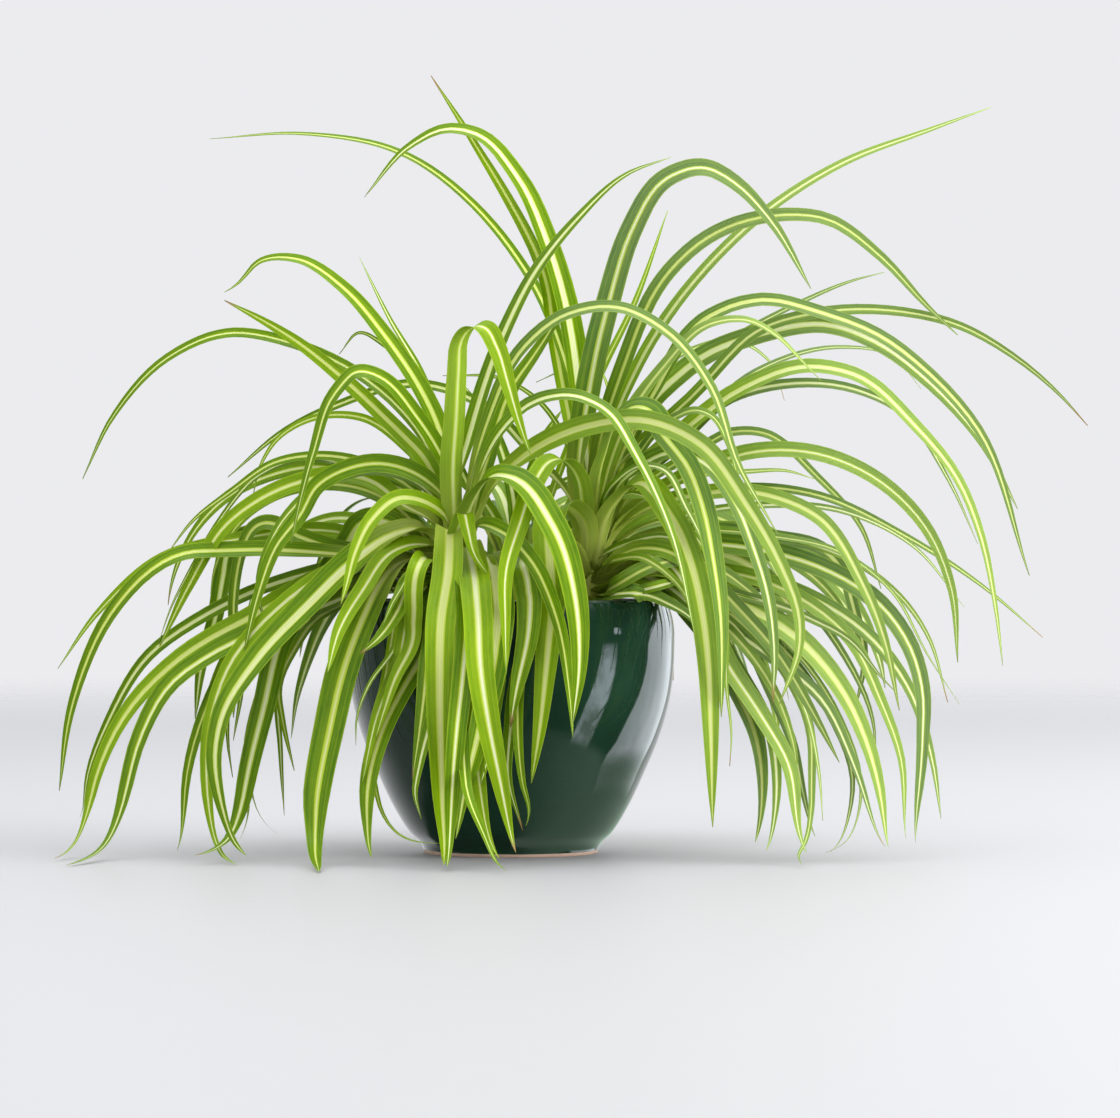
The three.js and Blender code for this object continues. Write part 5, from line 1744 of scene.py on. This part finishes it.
@dataclass
class Crown:
    """One crown: a short stem and all its leaves."""

    name: CrownName
    paths: Array
    widths: Array
    numbers: Array
    form: BladeForm = BLADE

    def blades(self) -> Surfaces:
        """The leaves as closed thin blades, folded along their middle.

        Across the blade u goes from -1 to 1. The upper face stands at u half-widths to the
        side, raised along the normal by the half-width times the tangent of the fold times
        (sqrt(u^2 + r) - sqrt(r)) with the keel's round r, so that the margins stand up from
        a round keel. The lower face lies the thickness below it, less towards the margins.
        Rows follow the centre line, and the blade rolls towards the viewer and twists along
        its length.

        Returns:
            All blades' surfaces and values.
        """
        form = self.form
        path = self.paths
        leaves, rows = path.shape[:2]
        ahead = np.concatenate((path[:, 1:], path[:, -1:]), axis=1)
        behind = np.concatenate((path[:, :1], path[:, :-1]), axis=1)
        along = unit(ahead - behind)
        reach = path[:, -1] - path[:, 0]
        compass = np.arctan2(reach[:, 1], reach[:, 0])
        level = np.column_stack((-np.sin(compass), np.cos(compass), 0 * compass))[:, None]
        side = unit(level - along * dot(level, along))
        normal = np.cross(along, side)
        gaps = np.linalg.norm(np.diff(path, axis=1), axis=2)
        run = np.concatenate((np.zeros((leaves, 1)), np.cumsum(gaps, axis=1)), axis=1)
        s = run / run[:, -1:]
        jitter = np.radians(form.roll_jitter * self.wave(form.jitter_turn))
        roll = blade_roll(compass[:, None], along[..., 2], jitter[:, None])
        twist = np.radians(form.twist * self.wave(form.twist_turn, form.twist_start))[:, None]
        rolled = roll * smooth(s / form.root_length) + twist * s * s
        turned = rolled * smooth(path[..., 2] / form.roll_height)
        cos, sin = np.cos(turned)[..., None], np.sin(turned)[..., None]
        side, normal = side * cos + normal * sin, normal * cos - side * sin
        hangs = path[:, -1:, 2] < form.hanging_height
        full = self.widths[:, None] * np.where(hangs, form.widening, 1.0)
        half = blade_width(full, s, form.tip_width, form.root_share, form.taper) / 2
        half = half * mix(form.lying_share, 1.0, smooth(path[..., 2] / form.lying_height))
        opened = smooth(s / form.fold_length)
        fold = np.tan(np.radians(mix(form.base_fold, form.tip_fold, opened)))
        u = np.linspace(-1, 1, form.columns)
        keel = np.sqrt(u * u + form.keel_round) - math.sqrt(form.keel_round)
        up = half[..., None] * fold[..., None] * keel
        thinned = form.thickness * (1 - form.edge_thinning * u**4)
        thick = thinned * np.minimum(half, 1.0)[..., None]
        upper = up + thick / 2
        lower = (up - thick / 2)[..., ::-1]
        shift = np.concatenate((u, u[::-1])) * half[..., None]
        raised = np.concatenate((upper, lower), axis=-1)
        points = (
            path[:, :, None]
            + side[:, :, None] * shift[..., None]
            + normal[:, :, None] * raised[..., None]
        )
        points[..., 2] = np.maximum(points[..., 2], form.least_height)
        ring = 2 * form.columns
        one = self.blade_quads(rows, ring)
        quads = (one[None] + (np.arange(leaves) * rows * ring)[:, None, None]).reshape(-1, 4)
        shape = (leaves, rows, ring)
        across = np.broadcast_to((np.concatenate((u, u[::-1])) + 1) / 2, shape)
        uv = np.stack((across, np.broadcast_to(s[..., None], shape)), axis=-1).reshape(-1, 2)
        under = np.broadcast_to(np.repeat([0.0, 1.0], form.columns), shape)
        values = self.leaf_values(shape)
        values["under"] = under.ravel()
        lines = np.zeros(ring)
        lines[[0, form.columns - 1, form.columns, ring - 1]] = (1, 2, 3, 4)
        values["margin"] = np.broadcast_to(lines, shape).ravel()
        return Surfaces(points.reshape(-1, 3), quads, uv, values)

    def wave(self, turn: float, start: float = 0.0) -> Array:
        """The sine of each leaf's number times a turn, plus a start."""
        return np.sin(turn * self.numbers + start)

    @staticmethod
    def blade_quads(rows: int, ring: int) -> Array:
        """Quads of one closed blade: its skin and both end caps.

        Args:
            rows: How many rows the blade has.
            ring: How many points a row has, over both faces.

        Returns:
            Vertex numbers, four for each quad.
        """
        half = ring // 2
        k = np.arange(half - 1)
        start = np.stack((k, k + 1, ring - 2 - k, ring - 1 - k), axis=1)
        end = start[:, ::-1] + (rows - 1) * ring
        return np.concatenate((strip_quads(rows, ring), start, end))

    def leaf_values(self, shape: tuple[int, int, int]) -> dict[str, Array]:
        """Each leaf's own values, spread over its points.

        They are its tone, its stripe's width and yellowness, whether its tip is dry, and how
        far right its tip hangs, which sets how much painted window sheen pales it.

        Args:
            shape: How many leaves there are, rows in a leaf and points in a row.

        Returns:
            The values by name, one for each point.
        """
        look = VARIETY
        spread = {
            "tone": 0.5 + 0.5 * self.wave(*look.tone),
            "stripe": look.stripe_width + look.stripe_change * self.wave(*look.stripe),
            "dry": (self.wave(*look.dry) > look.dry_above).astype(float),
            "butter": smooth(0.5 + look.butter_change * self.wave(*look.butter)),
            # how much painted window sheen a leaf gets, by how far right its tip hangs
            "outer": smooth((self.paths[:, -1, 0] - look.outer_from) / look.outer_over),
        }
        return {
            key: np.broadcast_to(value[:, None, None], shape).ravel()
            for key, value in spread.items()
        }

    def stem(self) -> Surfaces:
        """The stem of clasping leaf bases.

        Its radius at angle a is the profile's times 1 + swell |sin(swell_turn a)|, turned a
        little more with each millimetre of height.

        Returns:
            The stem's surfaces, with values that make it as pale as the leaves' roots.
        """
        place = PLACES[self.name]
        profile = np.array([
            (0, STEM.bottom), (STEM.radius - 1, STEM.bottom),
            (STEM.radius - 0.8, STEM.shoulder - 6), (STEM.radius - 1.2, STEM.shoulder),
            (STEM.radius * 0.72, STEM.shoulder + 14), (STEM.radius * 0.4, place.top - 10),
            (0, place.top - 2),
        ])
        curve = smooth_path(np.insert(profile, 1, 0, axis=1), STEM.rows)[:, [0, 2]]
        points, quads, _ = lathe(np.maximum(curve, [[0, STEM.bottom]]), STEM.sides)
        angle = np.arctan2(points[:, 1], points[:, 0])
        ribs = np.sin(STEM.swell_turn * angle + points[:, 2] * STEM.swell_lean)
        swell = 1 + STEM.swell * np.abs(ribs)
        points[:, :2] *= swell[:, None]
        near_root = np.full(len(angle), 0.03)
        uv = np.column_stack(((angle / math.pi + 1) / 2, near_root))
        points[:, :2] += (place.x, place.y)
        flat = np.zeros(len(points))
        values = {key: flat for key in ("tone", "dry", "outer", "under", "margin")}
        values["stripe"] = flat + VARIETY.stripe_width
        values["butter"] = flat + 1
        return Surfaces(points, quads, uv, values)

    def build(self, material: bpy.types.Material) -> None:
        """Makes the crown as one mesh and dresses it.

        Args:
            material: The leaves' material.
        """
        surfaces = self.blades().joined(self.stem())
        piece = surfaces.build(self.name.value + "_leaves")
        fit_out(piece, self.name.value, material)


@dataclass
class Foliage:
    """All three crowns."""

    finish: LeafFinish = LeafFinish()

    def build(self) -> None:
        """Works out every leaf, eases them apart and makes the crowns."""
        leaves = all_leaves()
        easing = Easing(leaves)
        easing.run()
        paths = easing.eased_paths(leaves)
        material = self.finish.build()
        for name in CrownName:
            mine = np.array([n for n, leaf in enumerate(leaves) if leaf.crown is name])
            widths = np.array([leaves[n].width for n in mine])
            Crown(name, paths[mine], widths, mine).build(material)
            LOG.info("%s: %d leaves", name.value, len(mine))


# ---- studio ----


@dataclass(frozen=True)
class Softbox:
    """A rectangular lamp: where it stands, what it faces, its size and its power."""

    name: str
    place: tuple[float, float, float]
    target: tuple[float, float, float]
    size: tuple[float, float]
    power: float
    colour: tuple[float, float, float] = (1.0, 1.0, 1.0)
    mirrored: bool = False


@dataclass
class Studio:
    """Pale floor, soft light and the camera."""

    floor_sides: int = 96
    floor_radius: float = 6.0
    floor_clear: float = 1.6
    floor_gone: float = 4.5
    floor_roughness: float = 0.5
    floor_colour: Colour = rgb(164, 164, 166)
    backdrop: Colour = rgb(236, 236, 239)
    dim: Colour = rgb(62, 66, 64)
    pale: Colour = rgb(240, 241, 244)
    side: Colour = rgb(150, 150, 154)
    ground: Colour = rgb(198, 224, 204)
    near_light: Colour = (4.2, 4.6, 5.2, 1.0)
    far_light: Colour = (2.9, 3.1, 3.3, 1.0)
    dapple: Colour = (1.2, 1.35, 1.3, 1.0)
    dapple_share: float = 0.3
    near_pane: tuple[float, float] = (1.12, 1.42)
    near_lean: float = 0.3
    far_pane: tuple[float, float] = (2.0, 2.75)
    far_lean: float = 0.6
    spot_turn: tuple[float, float] = (1.36, 1.46)
    spot_height: tuple[float, float] = (0.06, 0.16)
    ground_from: float = 1.65
    ground_lean: float = 0.32
    diffuse_strength: float = 1.6
    lamps: tuple[Softbox, ...] = (
        Softbox("overhead", (0.3, 0.3, 2.4), (0.0, 0.0, 0.2), (2.4, 2.0), 34.0, mirrored=True),
        Softbox("window", (3.3, -1.1, 1.1), (0.0, 0.0, 0.25), (1.9, 2.4), 165.0, (1.0, 0.99, 0.97)),
        Softbox("front_fill", (-1.4, -2.4, 1.4), (0.0, 0.0, 0.25), (1.6, 1.6), 14.0),
    )

    def build(self) -> None:
        """Makes the floor, the lamps, the world's light and the camera."""
        self.floor()
        for lamp in self.lamps:
            self.lamp(lamp)
        self.world()
        self.camera()

    def floor(self) -> None:
        """A round floor that fades into the backdrop far from the plant."""
        angle = np.arange(self.floor_sides) * 2 * math.pi / self.floor_sides
        rim = np.column_stack((np.cos(angle), np.sin(angle), 0 * angle)) * self.floor_radius
        mesh = bpy.data.meshes.new("floor")
        mesh.from_pydata(rim.tolist(), [], [list(range(self.floor_sides))])
        floor = bpy.data.objects.new("floor", mesh)
        bpy.context.scene.collection.objects.link(floor)
        material, bench, output = new_material("pale_floor")
        place = bench.add("ShaderNodeTexCoord").outputs["Object"]
        away = bench.add("ShaderNodeVectorMath", {"operation": "LENGTH"})
        bench.feed(away, 0, place)
        gone = bench.step(away.outputs["Value"], self.floor_clear, self.floor_gone)
        matte = bench.add("ShaderNodeBsdfPrincipled", Base_Color=self.floor_colour)
        bench.feed(matte, "Roughness", self.floor_roughness)
        clear = bench.add("ShaderNodeBsdfTransparent")
        shader = bench.add("ShaderNodeMixShader")
        bench.feed(shader, 0, gone)
        bench.feed(shader, 1, matte.outputs["BSDF"])
        bench.feed(shader, 2, clear.outputs["BSDF"])
        bench.feed(output, "Surface", shader.outputs["Shader"])
        mesh.materials.append(material)
        floor.visible_glossy = False

    @staticmethod
    def lamp(box: Softbox) -> None:
        """Makes one softbox that faces its target.

        Args:
            box: The softbox.
        """
        data = bpy.data.lights.new(box.name, "AREA")
        data.shape = "RECTANGLE"
        data.size, data.size_y = box.size
        data.energy = box.power
        data.color = box.colour
        made = bpy.data.objects.new(box.name, data)
        made.visible_camera = False
        made.visible_glossy = box.mirrored
        made.location = box.place
        facing = np.array(box.target) - np.array(box.place)
        made.rotation_euler = Vector(facing).to_track_quat("-Z", "Y").to_euler()
        bpy.context.scene.collection.objects.link(made)

    def world(self) -> None:
        """Even pale light all round, which gloss mirrors as a dim space with two panes.

        Camera rays see the plain backdrop, glossy rays what the glaze mirrors, and all
        others an even glow.
        """
        world = bpy.data.worlds.new("studio")
        world.use_nodes = True
        world.node_tree.nodes.clear()
        bench = NodeBench(world.node_tree)
        mirrored = self.mirror_view(bench)
        path = bench.add("ShaderNodeLightPath").outputs
        even = bench.blend(path["Is Glossy Ray"], self.pale, mirrored)
        colour = bench.blend(path["Is Camera Ray"], even, self.backdrop)
        flat = bench.math("MAXIMUM", path["Is Camera Ray"], path["Is Glossy Ray"])
        extra = bench.product(bench.math("SUBTRACT", 1.0, flat), self.diffuse_strength - 1)
        strength = bench.math("ADD", extra, 1.0)
        glow = bench.add("ShaderNodeBackground", Color=colour, Strength=strength)
        output = bench.add("ShaderNodeOutputWorld")
        bench.feed(output, "Surface", glow.outputs["Background"])
        bpy.context.scene.world = world

    def mirror_view(self, bench: NodeBench) -> Socket:
        """What gloss mirrors, by the turn to the right of the viewer's side and the height.

        It is dim on the viewer's side and pale behind and above. To the right stand two
        bright dappled panes that lean a little, one near and one far, and a small spot. The
        pale ground lies below.

        Args:
            bench: The world's bench.

        Returns:
            The colour's socket.
        """
        way = bench.add("ShaderNodeTexCoord").outputs["Generated"]
        parts = bench.add("ShaderNodeSeparateXYZ", Vector=way).outputs
        height = parts["Z"]
        turn = bench.math("ARCTAN2", parts["X"], bench.product(parts["Y"], -1.0))
        behind = bench.step(bench.math("ABSOLUTE", turn), low=1.9, high=2.7)
        above = bench.step(height, low=0.35, high=0.75)
        walls = bench.blend(bench.step(turn, low=-0.6, high=-1.2), self.dim, self.side)
        seen = bench.blend(bench.math("MAXIMUM", behind, above), walls, self.pale)
        dapples = mottle(bench, way, scale=5.0, contrast=3.0)
        near_view = bench.blend(dapples, self.dapple, self.near_light)
        faint = bench.product(dapples, self.dapple_share)
        far_view = bench.blend(faint, self.far_light, self.dapple)
        near_turn = bench.math("SUBTRACT", turn, bench.product(height, self.near_lean))
        pane = self.between(bench, near_turn, *self.near_pane)
        seen = bench.blend(bench.product(pane, bench.step(height, low=-0.02, high=-0.08)), seen, near_view)
        spot = self.between(bench, turn, *self.spot_turn)
        spot = bench.product(spot, self.between(bench, height, *self.spot_height))
        seen = bench.blend(spot, seen, self.near_light)
        far_turn = bench.math("SUBTRACT", turn, bench.product(height, self.far_lean))
        pane = self.between(bench, far_turn, *self.far_pane)
        seen = bench.blend(bench.product(pane, bench.step(height, low=0.7, high=0.5)), seen, far_view)
        rise = bench.math("MAXIMUM", bench.math("SUBTRACT", turn, self.ground_from), 0.0)
        over = bench.math("SUBTRACT", height, bench.product(rise, self.ground_lean))
        ground = bench.blend(bench.step(turn, low=-0.3, high=1.5), self.dim, self.ground)
        return bench.blend(bench.step(over, low=-0.54, high=-0.62), seen, ground)

    @staticmethod
    def between(bench: NodeBench, value: object, low: float, high: float) -> Socket:
        """One between two values, with soft ends of 0.03."""
        begun = bench.step(value, low - 0.015, low + 0.015)
        return bench.product(begun, bench.step(value, high + 0.015, high - 0.015))

    @staticmethod
    def camera() -> None:
        """A level camera at the viewpoint."""
        data = bpy.data.cameras.new("camera")
        data.lens = VIEW.lens
        data.sensor_width = VIEW.sensor
        data.sensor_fit = "AUTO"
        data.clip_end = 50.0
        made = bpy.data.objects.new("camera", data)
        made.location = (VIEW.x * MM, -VIEW.distance * MM, VIEW.z * MM)
        made.rotation_euler = (math.pi / 2, 0, 0)
        bpy.context.scene.collection.objects.link(made)
        bpy.context.scene.camera = made
        bpy.context.scene.view_settings.view_transform = "Standard"


def main() -> None:
    """Builds the pot, the soil, the crowns and the studio."""
    logging.basicConfig(level=logging.INFO, format="%(name)s: %(message)s")
    Pot().build(GlazeFinish())
    Soil().build(SoilFinish())
    Foliage().build()
    Studio().build()


if __name__ == "__main__":
    main()
